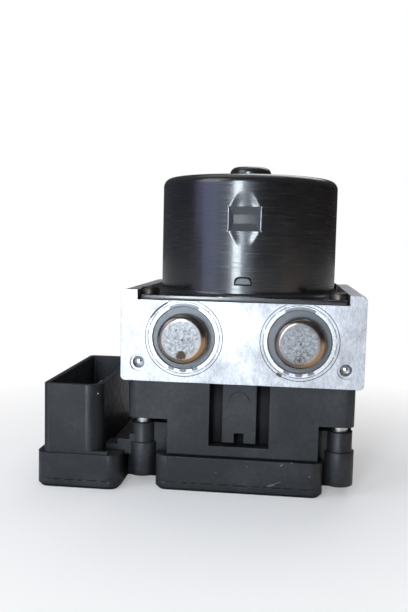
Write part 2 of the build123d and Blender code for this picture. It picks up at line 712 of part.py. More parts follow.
def stamped_mark():
    """Impressed outline with a flat foot and an arched top, low on the can's front."""
    foot_z = POCKET_FLOOR + MARK_ABOVE_FLOOR
    plane = Plane((0, -CAN_RADIUS - OVERCUT, foot_z), x_dir=(1, 0, 0), z_dir=(0, -1, 0))

    def arch(width, height, foot):
        shoulder = foot + height - MARK_CROWN
        base = Polyline((-width / 2, shoulder), (-width / 2, foot), (width / 2, foot), (width / 2, shoulder))
        crown = ThreePointArc((width / 2, shoulder), (0, foot + height), (-width / 2, shoulder))
        return make_face([base, crown])

    outer = arch(MARK_WIDTH, MARK_HEIGHT, 0)
    inner = arch(MARK_WIDTH - 2 * MARK_LINE, MARK_HEIGHT - 2 * MARK_LINE, MARK_LINE)
    return extrude(plane * (outer - inner), -OVERCUT - MARK_DEPTH)


def motor_can():
    """Deep-drawn steel can with its flange, bearing boss and pressed magnet stops."""
    outer = disc(CAN_RADIUS, POCKET_FLOOR, CAN_TOP) + disc(BEARING_BOSS_RADIUS, CAN_TOP, BOSS_TOP)
    outer = fillet(circle_edges(outer, CAN_RADIUS, CAN_TOP), CAN_CORNER)
    outer = fillet(circle_edges(outer, BEARING_BOSS_RADIUS, BOSS_TOP), BEARING_BOSS_CORNER)
    flange = post(
        -FLANGE_LENGTH / 2,
        FLANGE_LENGTH / 2,
        BLOCK_FRONT,
        BLOCK_REAR,
        POCKET_FLOOR,
        FLANGE_TOP,
        FLANGE_CORNER,
    )
    foot_top = FLANGE_TOP + FOOT_FILLET
    foot = disc(CAN_RADIUS + FOOT_FILLET, FLANGE_TOP, foot_top)
    foot -= Pos(0, 0, foot_top) * Torus(CAN_RADIUS + FOOT_FILLET, FOOT_FILLET)
    foot &= slab(-BLOCK_LENGTH, BLOCK_LENGTH, BLOCK_FRONT, BLOCK_REAR, FLANGE_TOP, foot_top)
    inner = disc(CAN_INNER_RADIUS, POCKET_FLOOR, CAN_TOP - CAN_WALL)
    bearing_room = disc(REAR_BEARING_RADIUS + SEAT, CAN_TOP - 2 * CAN_WALL, REAR_BEARING_TOP)
    bump, recess = stop_pocket()
    half_turn = Rot(0, 0, 180)
    can = outer + flange + foot - inner - bearing_room
    can += [bump, half_turn * bump]
    cuts = [recess, stop_flare(1), stop_flare(-1)]
    cuts += [half_turn * cut for cut in cuts]
    cuts.append(stamped_mark())
    for x, y in motor_screw_positions():
        cuts.append(disc(MOTOR_THREAD_RADIUS + FREE, POCKET_FLOOR, FLANGE_TOP, x, y))
    return can - cuts


def motor_screws():
    """Four screws that hold the flange."""
    screw = cheese_head_screw(
        MOTOR_HEAD_RADIUS,
        MOTOR_HEAD_HEIGHT,
        MOTOR_THREAD_RADIUS - BORE_GAP,
        MOTOR_THREAD_DEPTH + FLANGE_THICKNESS - OVERCUT,
    )
    return Part() + [Pos(x, y, FLANGE_TOP) * screw for x, y in motor_screw_positions()]


def seal_ring(gap):
    """Ring in the floor of the flange seat: the motor seal, or its groove where the gap is nothing."""
    z0 = POCKET_FLOOR - MOTOR_SEAL_DEPTH
    return ring(MOTOR_SEAL_RADIUS - gap, MOTOR_SEAL_RADIUS - MOTOR_SEAL_WIDTH + gap, z0, POCKET_FLOOR)


def motor_seal():
    """Seal between the brush plate and the block."""
    return seal_ring(SEAT)


# ---------- Motor inside ----------
def front_bearing():
    return ring(
        FRONT_BEARING_RADIUS, SHAFT_RADIUS + SEAT, POCKET_FLOOR - FRONT_BEARING_WIDTH, POCKET_FLOOR
    )


def rear_bearing():
    return ring(
        REAR_BEARING_RADIUS, SHAFT_TAIL_RADIUS + SEAT, REAR_BEARING_BOTTOM, REAR_BEARING_TOP
    )


def motor_shaft():
    """Stepped shaft with the pump eccentric at its lower end."""
    eccentric_bottom = PUMP_AXIS_Z - ECCENTRIC_LENGTH / 2
    eccentric_top = PUMP_AXIS_Z + ECCENTRIC_LENGTH / 2
    main = disc(SHAFT_RADIUS, eccentric_top, REAR_BEARING_BOTTOM - FREE)
    tail = disc(SHAFT_TAIL_RADIUS, REAR_BEARING_BOTTOM - FREE, REAR_BEARING_TOP - FREE)
    eccentric = disc(ECCENTRIC_RADIUS, eccentric_bottom, eccentric_top, 0, ECCENTRIC_OFFSET)
    return main + tail + eccentric


def eccentric_bearing():
    """Needle bearing ring on the eccentric, which pushes the two plungers."""
    half = ECCENTRIC_LENGTH / 2
    bore = ECCENTRIC_RADIUS + SEAT
    bearing = ring(ECCENTRIC_RING_RADIUS, bore, PUMP_AXIS_Z - half, PUMP_AXIS_Z + half)
    return Pos(0, ECCENTRIC_OFFSET, 0) * bearing


def slot_cutter(width, mouth, floor_radius, tip):
    """Cross-section of one armature slot along +X: a straight-sided slot with a narrow mouth."""
    body_end = CORE_RADIUS - tip
    body = Pos((floor_radius + body_end) / 2, 0) * Rectangle(body_end - floor_radius, width)
    opening = Pos(CORE_RADIUS, 0) * Rectangle(2 * (tip + OVERCUT), mouth)
    return body + opening


def armature_core():
    """Stack of slotted laminations."""
    section = Circle(CORE_RADIUS) - Circle(SHAFT_RADIUS + SEAT)
    slot = slot_cutter(SLOT_WIDTH, SLOT_MOUTH, SLOT_FLOOR_RADIUS, TOOTH_TIP)
    section -= [Rot(0, 0, index * 360 / COMMUTATOR_BARS) * slot for index in range(COMMUTATOR_BARS)]
    return Pos(0, 0, CORE_BOTTOM) * extrude(section, CORE_HEIGHT)


def armature_winding():
    """Copper winding: a bar of wire in each slot, joined by the end turns."""
    end_turns = ring(WINDING_OUTER_RADIUS, WINDING_INNER_RADIUS, 0, WINDING_OVERHANG)
    winding = Pos(0, 0, CORE_BOTTOM - WINDING_OVERHANG) * end_turns + Pos(0, 0, CORE_TOP) * end_turns
    bar_start = SLOT_FLOOR_RADIUS + FREE / 2
    bar_end = CORE_RADIUS - TOOTH_TIP - FREE / 2
    half_width = SLOT_WIDTH / 2 - FREE / 2
    bar = slab(bar_start, min(bar_end, WINDING_OUTER_RADIUS), -half_width, half_width, CORE_BOTTOM, CORE_TOP)
    return winding + [Rot(0, 0, index * 360 / COMMUTATOR_BARS) * bar for index in range(COMMUTATOR_BARS)]


def commutator():
    """Copper bars on an insulated hub, parted by narrow slots."""
    top = CORE_BOTTOM - FREE
    bottom = top - COMMUTATOR_HEIGHT
    drum = ring(COMMUTATOR_RADIUS, SHAFT_RADIUS + SEAT, bottom, top)
    half = COMMUTATOR_GAP / 2
    gap = slab(COMMUTATOR_RADIUS - COMMUTATOR_GAP_DEPTH, CORE_RADIUS, -half, half, bottom, top)
    return drum - [Rot(0, 0, (index + 0.5) * 360 / COMMUTATOR_BARS) * gap for index in range(COMMUTATOR_BARS)]


def magnet(side):
    """Ferrite arc inside the can."""
    outer = CAN_INNER_RADIUS - SEAT
    middle = (CORE_BOTTOM + CORE_TOP) / 2
    centre = (outer + MAGNET_INNER_RADIUS) / 2
    section = Plane.XZ * Pos(centre, middle) * Rectangle(outer - MAGNET_INNER_RADIUS, MAGNET_HEIGHT)
    arc = revolve(section, Axis.Z, MAGNET_SPAN)
    start = -MAGNET_SPAN / 2 if side > 0 else 180 - MAGNET_SPAN / 2
    return Rot(0, 0, start) * arc


def brush_axis_z():
    return BRUSH_PLATE_TOP + BRUSH_GUIDE_WALL + BRUSH_HEIGHT / 2 + SEAT


def brush_end():
    """Outer end of a brush, from the motor axis."""
    return COMMUTATOR_RADIUS + RUNNING + BRUSH_LENGTH


def brush_guide(side):
    """Open-ended box that carries one brush and its spring."""
    end = brush_end() + BRUSH_SPRING_SPACE
    half = BRUSH_WIDTH / 2 + SEAT
    low = brush_axis_z() - BRUSH_HEIGHT / 2 - SEAT
    high = brush_axis_z() + BRUSH_HEIGHT / 2 + SEAT
    wall = BRUSH_GUIDE_WALL
    guide = slab(BRUSH_GUIDE_START, end + wall, -half - wall, half + wall, BRUSH_PLATE_TOP, high + wall)
    guide -= slab(BRUSH_GUIDE_START, end, -half, half, low, high)
    return Rot(0, 0, 0 if side > 0 else 180) * guide


def brush_plate():
    """Moulded brush holder in the can's mouth, with the terminal mast that goes down through the block."""
    plate = ring(CAN_INNER_RADIUS - SEAT, BRUSH_PLATE_HOLE, POCKET_FLOOR, BRUSH_PLATE_TOP)
    mast_bottom = BLOCK_BOTTOM - TERMINAL_MAST_END
    plate += disc(TERMINAL_HOLE_RADIUS - 2 * SEAT, mast_bottom, BRUSH_PLATE_TOP, 0, TERMINAL_HOLE_Y)
    plate += [brush_guide(side) for side in SIDES.values()]
    for side in SIDES.values():
        plate -= terminal_blade(side, SEAT)
    return plate


def terminal_blade(side, gap=0.0):
    """One contact blade of the motor, from the brush plate down to the board."""
    x = side * TERMINAL_PITCH / 2
    half_width = TERMINAL_WIDTH / 2 + gap
    half_depth = TERMINAL_THICKNESS / 2 + gap
    return slab(
        x - half_width,
        x + half_width,
        TERMINAL_HOLE_Y - half_depth,
        TERMINAL_HOLE_Y + half_depth,
        BOARD_TOP,
        BRUSH_PLATE_TOP + TERMINAL_STUB,
    )


def motor_terminals():
    return Part() + [terminal_blade(side) for side in SIDES.values()]


def brush(side):
    """Carbon block with its end ground to the commutator."""
    z = brush_axis_z()
    block = slab(
        0,
        brush_end(),
        -BRUSH_WIDTH / 2,
        BRUSH_WIDTH / 2,
        z - BRUSH_HEIGHT / 2,
        z + BRUSH_HEIGHT / 2,
    )
    block -= disc(COMMUTATOR_RADIUS + RUNNING, z - BRUSH_HEIGHT, z + BRUSH_HEIGHT)
    return Rot(0, 0, 0 if side > 0 else 180) * block


def brush_spring(side):
    """Spring that presses a brush onto the commutator."""
    mean_radius = BRUSH_HEIGHT / 2 - BRUSH_WIRE
    spring = coil_spring(mean_radius, BRUSH_WIRE, BRUSH_SPRING_TURNS, BRUSH_SPRING_SPACE)
    return Pos(side * brush_end(), 0, brush_axis_z()) * Rot(0, side * 90, 0) * spring


# ---------- ECU ----------
def pan_outline(inset, z0, z1):
    """Plan of the ECU pan between two heights: front bulge, waist between the screw columns, side pan."""
    half_length = FRONT_PAN_LENGTH / 2 - inset
    half_depth = FRONT_PAN_DEPTH / 2 - inset
    right = COIL_BOX_LENGTH / 2 - inset
    waist = CORNER_RECESS_Y - inset
    corner = max(PAN_CORNER - inset, PAN_CORNER / 4)
    bulge = post(-half_length, half_length, -half_depth, half_depth, z0, z1, corner)
    middle = slab(SIDE_PAN_RIGHT - 2 * inset - OVERCUT, right, -waist, waist, z0, z1)
    side = post(
        SIDE_PAN_LEFT + inset,
        SIDE_PAN_RIGHT - inset,
        SIDE_PAN_FRONT + inset,
        SIDE_PAN_REAR - inset,
        z0,
        z1,
        corner,
    )
    return bulge + middle + side


def coil_box_outline(inset, z0, z1):
    """Plan of the coil box between two heights."""
    half_length = COIL_BOX_LENGTH / 2 - inset
    half_depth = BLOCK_DEPTH / 2 - inset
    return post(-half_length, half_length, -half_depth, half_depth, z0, z1, COIL_BOX_CORNER - inset)


def coil_box_inside(inset, z0, z1):
    """The same plan drawn in by an inset, also round the back of the front channel."""
    half = CHANNEL_WIDTH / 2 + inset
    detour = slab(-half, half, BLOCK_FRONT, BLOCK_FRONT + CHANNEL_DEPTH + inset, z0, z1)
    return coil_box_outline(inset, z0, z1) - detour


def corner_recesses(grow, top):
    """The four recesses round the screw columns, grown by a wall where the coil room goes round them."""
    y0 = CORNER_RECESS_Y - grow
    far = BLOCK_DEPTH
    recesses = []
    for name, side in SIDES.items():
        recess = slab(CORNER_RECESS_STARTS[name] - grow, far, y0, far, 0, top)
        if side < 0:
            recess = mirror(recess, Plane.YZ)
        recesses += [recess, mirror(recess, Plane.XZ)]
    return recesses


def coil_room():
    """Room for the coils, open to the block."""
    room = coil_box_inside(COIL_BOX_WALL, COIL_BOX_BOTTOM, BLOCK_BOTTOM)
    room -= corner_recesses(COIL_BOX_WALL, CORNER_RECESS_TOP + COIL_BOX_WALL)
    columns = [disc(UPPER_COLUMN_RADIUS, COIL_BOX_BOTTOM, BLOCK_BOTTOM, x, y) for x, y in column_positions()]
    return room - columns


def gasket_ring(gap):
    """The bead between block and coil box, or its groove where the gap is nothing."""
    inset = (COIL_BOX_WALL - GASKET_WIDTH) / 2
    z0 = BLOCK_BOTTOM - GASKET_DEPTH
    outer = coil_box_inside(inset + gap, z0, BLOCK_BOTTOM)
    return outer - coil_box_inside(inset + GASKET_WIDTH - gap, z0, BLOCK_BOTTOM)


def front_channel():
    """Recess in the front wall: two deep grooves beside a shallow panel, a notch at the panel's foot."""
    front = BLOCK_FRONT
    back = front + CHANNEL_DEPTH
    half = CHANNEL_WIDTH / 2
    half_panel = PANEL_WIDTH / 2
    channel = slab(-half, half, front, back, CHANNEL_FOOT, BLOCK_BOTTOM)
    panel = slab(-half_panel, half_panel, front + PANEL_INSET, back, PANEL_FOOT, BLOCK_BOTTOM)
    notch = slab(-NOTCH_WIDTH / 2, NOTCH_WIDTH / 2, front, back, PANEL_FOOT, NOTCH_TOP)
    arch_y = front + PANEL_INSET
    arch_z = ARCH_TOP - ARCH_RADIUS
    arch = rod_y(ARCH_RADIUS, arch_y, arch_y + ARCH_DEPTH, 0, arch_z) - rod_y(
        ARCH_RADIUS - ARCH_LINE, arch_y, arch_y + ARCH_DEPTH, 0, arch_z
    )
    arch &= slab(-ARCH_RADIUS, ARCH_RADIUS, front, back, arch_z, ARCH_TOP)
    return channel - (panel - notch - arch)


def screw_column(x, y):
    """One screw column: a stout foot, a slimmer neck and two webs back to the coil box."""
    lower = disc(LOWER_COLUMN_RADIUS, COLUMN_FOOT, LOWER_COLUMN_TOP, x, y)
    upper = disc(UPPER_COLUMN_RADIUS, COLUMN_FOOT, UPPER_COLUMN_TOP, x, y)
    recess_start = CORNER_RECESS_STARTS["left" if x < 0 else "right"]
    inner_x = math.copysign(recess_start - OVERCUT, x)
    inner_y = math.copysign(CORNER_RECESS_Y - OVERCUT, y)
    half = COLUMN_WEB / 2
    to_bulge = slab(min(x, inner_x), max(x, inner_x), y - half, y + half, COLUMN_FOOT, UPPER_COLUMN_TOP)
    to_waist = slab(x - half, x + half, min(y, inner_y), max(y, inner_y), COLUMN_FOOT, UPPER_COLUMN_TOP)
    return lower + upper + to_bulge + to_waist


def shroud_plan(inset, z0, z1):
    """Plan of the connector shroud between two heights, its two corners by the coil box rounder."""
    small = max(SHROUD_CORNER - inset, SHROUD_CORNER / 3)
    large = SHROUD_INNER_CORNER - inset
    return post(
        SHROUD_LEFT + inset,
        SHROUD_RIGHT - inset,
        SHROUD_FRONT + inset,
        SHROUD_REAR - inset,
        z0,
        z1,
        small,
        large,
        large,
        small,
    )


def carrier_bottom():
    return SHROUD_FLOOR - CARRIER_THICKNESS


def gussets():
    """Stepped web that climbs from the side pan to the front left column."""
    left = SHROUD_RIGHT
    right = -COLUMN_X
    tread = (right - left) / GUSSET_STEPS
    front = -COLUMN_Y - GUSSET_DEPTH / 2
    steps = []
    for step in range(GUSSET_STEPS):
        top = PAN_TOP + GUSSET_STEP_HEIGHT * (step + 1)
        steps.append(slab(left + tread * step, right, front, front + GUSSET_DEPTH, PAN_CEILING, top))
    return steps


def pan_strip():
    """Low ledge along the side pan's front edge, beside the shroud."""
    front = SIDE_PAN_FRONT + PAN_STRIP_HEIGHT
    return slab(
        SHROUD_RIGHT - SHROUD_INNER_CORNER,
        SIDE_PAN_RIGHT - PAN_CORNER,
        front,
        front + PAN_STRIP_DEPTH,
        PAN_TOP,
        PAN_TOP + PAN_STRIP_HEIGHT,
    )


def floor_openings():
    """Slots in the coil box's floor for the coil pins and the motor's contact blades."""
    reach = COIL_PIN_PITCH + COIL_PIN
    slots = [
        slab(x - reach, x + reach, y - COIL_PIN, y + COIL_PIN, PAN_CEILING, COIL_BOX_BOTTOM)
        for x, y in valve_positions()
    ]
    reach = TERMINAL_PITCH / 2 + TERMINAL_WIDTH
    y0 = TERMINAL_HOLE_Y - TERMINAL_WIDTH
    y1 = TERMINAL_HOLE_Y + TERMINAL_WIDTH
    return slots + [slab(-reach, reach, y0, y1, PAN_CEILING, COIL_BOX_BOTTOM)]


def standoffs():
    """Posts that hold the board below the pan's ceiling."""
    side_x = SIDE_PAN_LEFT + PAN_WALL + 3 * STANDOFF_RADIUS
    places = [(sx * STANDOFF_X, sy * STANDOFF_Y) for sx in (-1, 1) for sy in (-1, 1)]
    places += [(side_x, SIDE_PAN_FRONT / 2), (side_x, SIDE_PAN_REAR / 2)]
    return [disc(STANDOFF_RADIUS, BOARD_TOP, PAN_CEILING, x, y) for x, y in places]


def ecu_housing():
    """One moulding: pan, coil box, screw columns and connector shroud."""
    box = coil_box_outline(PAN_NECK_INSET, PAN_TOP - OVERCUT, COIL_BOX_BOTTOM)
    box += coil_box_outline(0, COIL_BOX_BOTTOM, BLOCK_BOTTOM)
    box -= corner_recesses(0, CORNER_RECESS_TOP)
    solid = box + pan_outline(0, COVER_THICKNESS, PAN_TOP)
    solid += shroud_plan(0, PAN_TOP, SHROUD_RIM)
    solid += gussets()
    solid += pan_strip()
    solid += [screw_column(x, y) for x, y in column_positions()]
    margin = SHROUD_WALL + CARRIER_MARGIN
    cuts = [
        front_channel(),
        coil_room(),
        gasket_ring(0),
        pan_outline(PAN_WALL, COVER_THICKNESS, PAN_CEILING),
        shroud_plan(SHROUD_WALL, SHROUD_FLOOR, SHROUD_RIM),
        shroud_plan(margin, carrier_bottom(), SHROUD_FLOOR),
        shroud_plan(margin + CARRIER_LEDGE, PAN_CEILING, carrier_bottom()),
    ]
    cuts += floor_openings()
    for x, y in column_positions():
        cuts.append(disc(SLEEVE_RADIUS + SEAT, COLUMN_FOOT, BLOCK_BOTTOM, x, y))
        cuts.append(disc(ECU_HEAD_RADIUS + FREE, COLUMN_FOOT, COLUMN_FOOT + SCREW_SEAT_DEPTH, x, y))
    return solid - cuts + standoffs()


def ecu_cover():
    """Moulded lid under the pan, with a lip inside the pan's wall."""
    plate = pan_outline(0, 0, COVER_THICKNESS)
    plate = chamfer(plate.faces().sort_by(Axis.Z)[0].edges(), COVER_EDGE)
    hollow_start = PAN_WALL + SEAT + COVER_LIP_WALL
    plate += pan_outline(PAN_WALL + SEAT, COVER_THICKNESS, COVER_THICKNESS + COVER_LIP_HEIGHT)
    return plate - pan_outline(hollow_start, COVER_FLOOR, COVER_THICKNESS + COVER_LIP_HEIGHT)


def ecu_gasket():
    """Soft seal bead between the coil box and the block."""
    return gasket_ring(SEAT)


def ecu_sleeves():
    """Steel compression sleeves in the four screw columns."""
    z0 = COLUMN_FOOT + SCREW_SEAT_DEPTH
    inner = SLEEVE_RADIUS - SLEEVE_WALL
    sleeve = ring(SLEEVE_RADIUS, inner, z0, BLOCK_BOTTOM)
    return Part() + [Pos(x, y, 0) * sleeve for x, y in column_positions()]


def ecu_screws():
    """Four long screws, driven from below through the sleeves into the block."""
    seat = COLUMN_FOOT + SCREW_SEAT_DEPTH
    length = BLOCK_BOTTOM - seat + ECU_THREAD_DEPTH - FREE
    screw = cheese_head_screw(ECU_HEAD_RADIUS, ECU_HEAD_HEIGHT, ECU_THREAD_RADIUS - BORE_GAP, length)
    return Part() + [Pos(x, y, seat) * Rot(180, 0, 0) * screw for x, y in column_positions()]


def circuit_board():
    """Board with its controller and driver chips."""
    board = pan_outline(PAN_WALL + BOARD_GAP, BOARD_HEIGHT, BOARD_TOP)
    chip_top = BOARD_TOP + CHIP_HEIGHT
    half = CONTROLLER_SIZE / 2
    rows = [(0, half)] + [(side * DRIVER_PITCH, DRIVER_SIZE / 2) for side in (-1, 1)]
    for x, half in rows:
        y0 = CHIP_Y - half / 2
        board += slab(x - half, x + half, y0, y0 + half, BOARD_TOP, chip_top)
    return board


def signal_pins():
    """Plan centres of the small pins."""
    middle_x = (SHROUD_LEFT + SHROUD_RIGHT) / 2
    columns = [middle_x + (column - (PIN_COLUMNS - 1) / 2) * PIN_PITCH for column in range(PIN_COLUMNS)]
    return [(x, PIN_ROW_START + row * PIN_PITCH) for x in columns for row in range(PIN_ROWS)]


def power_blades():
    """Plan centres of the wide supply blades."""
    middle_x = (SHROUD_LEFT + SHROUD_RIGHT) / 2
    columns = [middle_x + side * BLADE_PITCH / 2 for side in (-1, 1)]
    return [(x, BLADE_ROW_START + row * BLADE_PITCH) for x in columns for row in range(BLADE_ROWS)]


def pin_bars(z0, z1):
    """All connector contacts between two heights."""
    half = PIN_SIZE / 2
    bars = [slab(x - half, x + half, y - half, y + half, z0, z1) for x, y in signal_pins()]
    half_width = BLADE_WIDTH / 2
    half = BLADE_THICKNESS / 2
    bars += [slab(x - half_width, x + half_width, y - half, y + half, z0, z1) for x, y in power_blades()]
    return bars


def connector_pins():
    return Part() + pin_bars(BOARD_TOP, PIN_TOP)


def pin_carrier():
    """Moulded insert in the shroud's floor that holds the contacts."""
    plate = shroud_plan(SHROUD_WALL + CARRIER_MARGIN + SEAT, carrier_bottom(), SHROUD_FLOOR)
    return plate - pin_bars(carrier_bottom(), SHROUD_FLOOR)


# ---------- The whole module ----------
def build():
    """Every piece of the module by the name of its node."""
    pieces = {
        "valve_block": valve_block(),
        "ball_plugs": ball_plugs(),
        "motor_can": motor_can(),
        "motor_screws": motor_screws(),
        "motor_seal": motor_seal(),
        "front_bearing": front_bearing(),
        "rear_bearing": rear_bearing(),
        "motor_shaft": motor_shaft(),
        "eccentric_bearing": eccentric_bearing(),
        "armature_core": armature_core(),
        "armature_winding": armature_winding(),
        "commutator": commutator(),
        "brush_plate": brush_plate(),
        "motor_terminals": motor_terminals(),
        "ecu_housing": ecu_housing(),
        "ecu_cover": ecu_cover(),
        "ecu_gasket": ecu_gasket(),
        "ecu_sleeves": ecu_sleeves(),
        "ecu_screws": ecu_screws(),
        "circuit_board": circuit_board(),
        "connector_pins": connector_pins(),
        "pin_carrier": pin_carrier(),
        "solenoid_coils_front": solenoid_coils(0),
        "solenoid_coils_rear": solenoid_coils(1),
    }
    for name, side in SIDES.items():
        pieces["magnet_" + name] = magnet(side)
        pieces["brush_" + name] = brush(side)
        pieces["brush_spring_" + name] = brush_spring(side)
        pieces["pump_piston_" + name] = pump_piston(side)
        pieces["pump_spring_" + name] = pump_spring(side)
        pieces["pump_plug_" + name] = pump_plug(side)
        pieces["accumulator_cap_" + name] = accumulator_cap(side)
        pieces["accumulator_spring_" + name] = accumulator_spring(side)
        pieces["accumulator_piston_" + name] = accumulator_piston(side)
        pieces["accumulator_seal_" + name] = accumulator_seal(side)
    for number, (x, y) in enumerate(valve_positions(), start=1):
        pieces["valve_" + str(number)] = valve(x, y)
    return pieces


os.makedirs("parts", exist_ok=True)
for node, shape in build().items():
    export_step(shape, "parts/" + node + ".step")
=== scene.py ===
import json
import math
import random

import bmesh
import bpy
from mathutils import Matrix, Vector


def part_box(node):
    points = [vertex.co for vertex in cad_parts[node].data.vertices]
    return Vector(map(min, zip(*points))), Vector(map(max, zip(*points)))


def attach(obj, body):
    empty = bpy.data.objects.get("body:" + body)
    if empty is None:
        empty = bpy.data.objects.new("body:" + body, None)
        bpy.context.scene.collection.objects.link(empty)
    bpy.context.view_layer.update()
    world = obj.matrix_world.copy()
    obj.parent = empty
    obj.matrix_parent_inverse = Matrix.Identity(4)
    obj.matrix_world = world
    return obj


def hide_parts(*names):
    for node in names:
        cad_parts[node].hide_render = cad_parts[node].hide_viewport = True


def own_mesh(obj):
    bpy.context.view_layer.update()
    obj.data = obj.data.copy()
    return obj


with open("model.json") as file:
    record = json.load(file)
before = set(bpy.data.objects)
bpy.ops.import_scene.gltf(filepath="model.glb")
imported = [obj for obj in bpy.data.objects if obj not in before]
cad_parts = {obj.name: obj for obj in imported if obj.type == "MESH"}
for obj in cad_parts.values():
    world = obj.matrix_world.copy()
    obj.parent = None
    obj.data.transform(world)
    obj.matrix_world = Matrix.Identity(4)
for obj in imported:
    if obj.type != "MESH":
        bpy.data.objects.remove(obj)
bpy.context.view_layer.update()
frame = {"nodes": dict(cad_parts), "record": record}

MM = 0.001
ROOT = "module"
random.seed(7)

# ---------- Camera (pixels in the 408 x 612 frame, lengths in millimetres) ----------
IMAGE_HEIGHT = 612
FOCAL_PIXELS = 718.3
SENSOR = 36.0
CAMERA_PLACE = (16.58, -330.35, 104.79)
CAMERA_YAW = 6.313
CAMERA_PITCH = 5.232
CAMERA_ROLL = 1.296

# ---------- Studio (positions and sizes in metres) ----------
ROOM_FOR_DIFFUSE = 0.5      # how bright the room is to diffuse rays
ROOM_FOR_GLOSS = 0.22       # and to glossy rays
PLASTIC_SHINE = 0.34
FLOOR_SIZE = 6.0
FLOOR_FADE = (70.0, 230.0)  # distances in millimetres between which the floor turns white
LAMP_TARGET = (0.0, 0.0, 0.08)
# Name, position, size, radiance and colour; a lamp of radiance 1 looks plain white.
LAMPS = (
    ("card", (-0.40, -0.90, 0.46), (0.8, 0.85), 0.22, (0.95, 0.97, 1.0)),
    ("strip", (-0.128, -0.62, 0.20), (0.11, 0.38), 18.60, (0.82, 0.92, 1.0)),
    ("blue", (-0.56, -0.52, 0.22), (0.26, 0.40), 1.61, (0.50, 0.60, 1.0)),
    ("blue_soft", (-0.40, -0.62, 0.22), (0.13, 0.40), 0.9, (0.55, 0.64, 1.0)),
    ("blue_fade", (-0.29, -0.66, 0.22), (0.13, 0.40), 0.4, (0.60, 0.68, 1.0)),
    ("strip_fade", (0.01, -0.68, 0.20), (0.16, 0.38), 1.0, (0.60, 0.75, 1.0)),
    ("blue_edge", (-0.66, -0.36, 0.26), (0.20, 0.30), 0.99, (0.62, 0.52, 1.0)),
    ("warm", (0.30, -0.16, 0.028), (0.22, 0.045), 1.25, (1.0, 0.62, 0.36)),
    ("key", (-1.05, -0.80, 1.00), (0.8, 0.8), 2.23, (0.97, 0.99, 1.0)),
    ("back", (0.25, 0.95, 1.15), (0.8, 0.8), 2.4, (1.0, 1.0, 1.0)),
    ("top", (-0.15, 0.25, 1.3), (1.0, 1.0), 0.68, (1.0, 1.0, 1.0)),
)

# ---------- Motor can (millimetres) ----------
CAN_RADIUS = 39.2
CAN_CORNER = 4.0
BOSS_RADIUS = 9.3
BOSS_HEIGHT = 5.8
BOSS_CORNER = 3.0
BOSS_FILLET = 1.2
BOSS_FACE_RADIUS = 3.0
CROWN_RINGS = (30.0, 20.0, 12.0)
FLANGE_THICKNESS = 2.1
FLANGE_CORNER = 3.0
FLANGE_EDGE = 0.35
FOOT_FILLET = 2.0
FOOT_SINK = 0.3             # how far the skin reaches into the flange
SCREW_HEAD_RADIUS = 3.9
SOCKET_SHARE = 0.52         # the socket's radius as a share of the head's
SOCKET_LOBES = 6
LOBE_SWING = 0.13
# Inside the stops and inside the mark the skin carries painted sheen; the mark's outline carries
# painted shadow.
CAN_MATERIALS = ("motor_black", "rubbed_steel", "stop_painted_sheen", "joint_shadow", "mark_painted_sheen")

# ---------- The can's pressed magnet stops, measured from their centres ----------
STOP_HALF_WIDTH = 6.6
STOP_HALF_HEIGHT = 4.95
STOP_ABOVE_FLOOR = 33.8
STOP_DEPTH = 2.6
STOP_RIM_DEPTH = 0.9
STOP_SIDE_RUN = 1.6
STOP_END_RUN = 3.1
FLARE_DEPTH = 0.65
FLARE_LENGTH = 7.0
FLARE_NARROWING = 0.6
STOP_EDGE_POINTS = (
    (7.2, -5.1), (6.85, -5.05), (6.66, -4.8), (6.6, -3.6), (6.6, 0.0),
    (6.6, 3.6), (6.66, 4.8), (6.85, 5.05), (7.2, 5.1),
)
BEAD_RADIUS = 0.19
BEAD_SINK = 0.06
BEAD_TIP = 0.35             # the radius of a bead's ends as a share of its own

# ---------- The can's stamped mark ----------
MARK_ABOVE_FLOOR = 6.9
MARK_HALF_WIDTH = 3.5
MARK_HEIGHT = 3.4
MARK_CROWN = 1.5
MARK_LINE = 0.5
MARK_DEPTH = 0.4

# ---------- How closely the can's skin is divided ----------
STEP_LEAD = 0.02            # distance of the nearest points to a sheared edge
STOP_MARGIN = 1.6
STOP_STEP = 0.2
MARGIN_STEP = 0.4
ROUND_STEP = 2.5            # degrees
FOOT_STEP = 0.8
MARK_STEP = 0.15
PLAIN_STEP = 1.5
FLARE_STEP = 0.35

# ---------- Block, accumulator caps and holes (millimetres) ----------
ACCUMULATOR_X = 23.7
ACCUMULATOR_Z = 64.6
BLOCK_FRONT = -40.0
CROWN_EDGE = (6.6, 8.3)     # radii between which a cap's crown turns into its wall
WALL_FOOT = (10.1, 10.5)    # radii between which the wall turns into its flange
BAND_EDGE = 0.12
# Inner radius, outer radius and lift of the bands round a cap
STAKED_LIP = (13.05, 14.5, 0.16)
# The bands in the lip's gaps are steel darkened as painted shade in the notches.
STAKE_GAP = (12.95, 14.3, 0.02)
INNER_CIRCLE = (12.86, 13.12, 0.03)
BROKEN_CIRCLE = (14.72, 14.96, 0.02)
OUTER_CIRCLE = (15.9, 16.22, 0.015)
LEFT_STAIN = (15.5, 16.1, 0.02)
RIGHT_STAIN = (15.2, 16.5, 0.02)
RING_DIRT_LIFT = 0.03
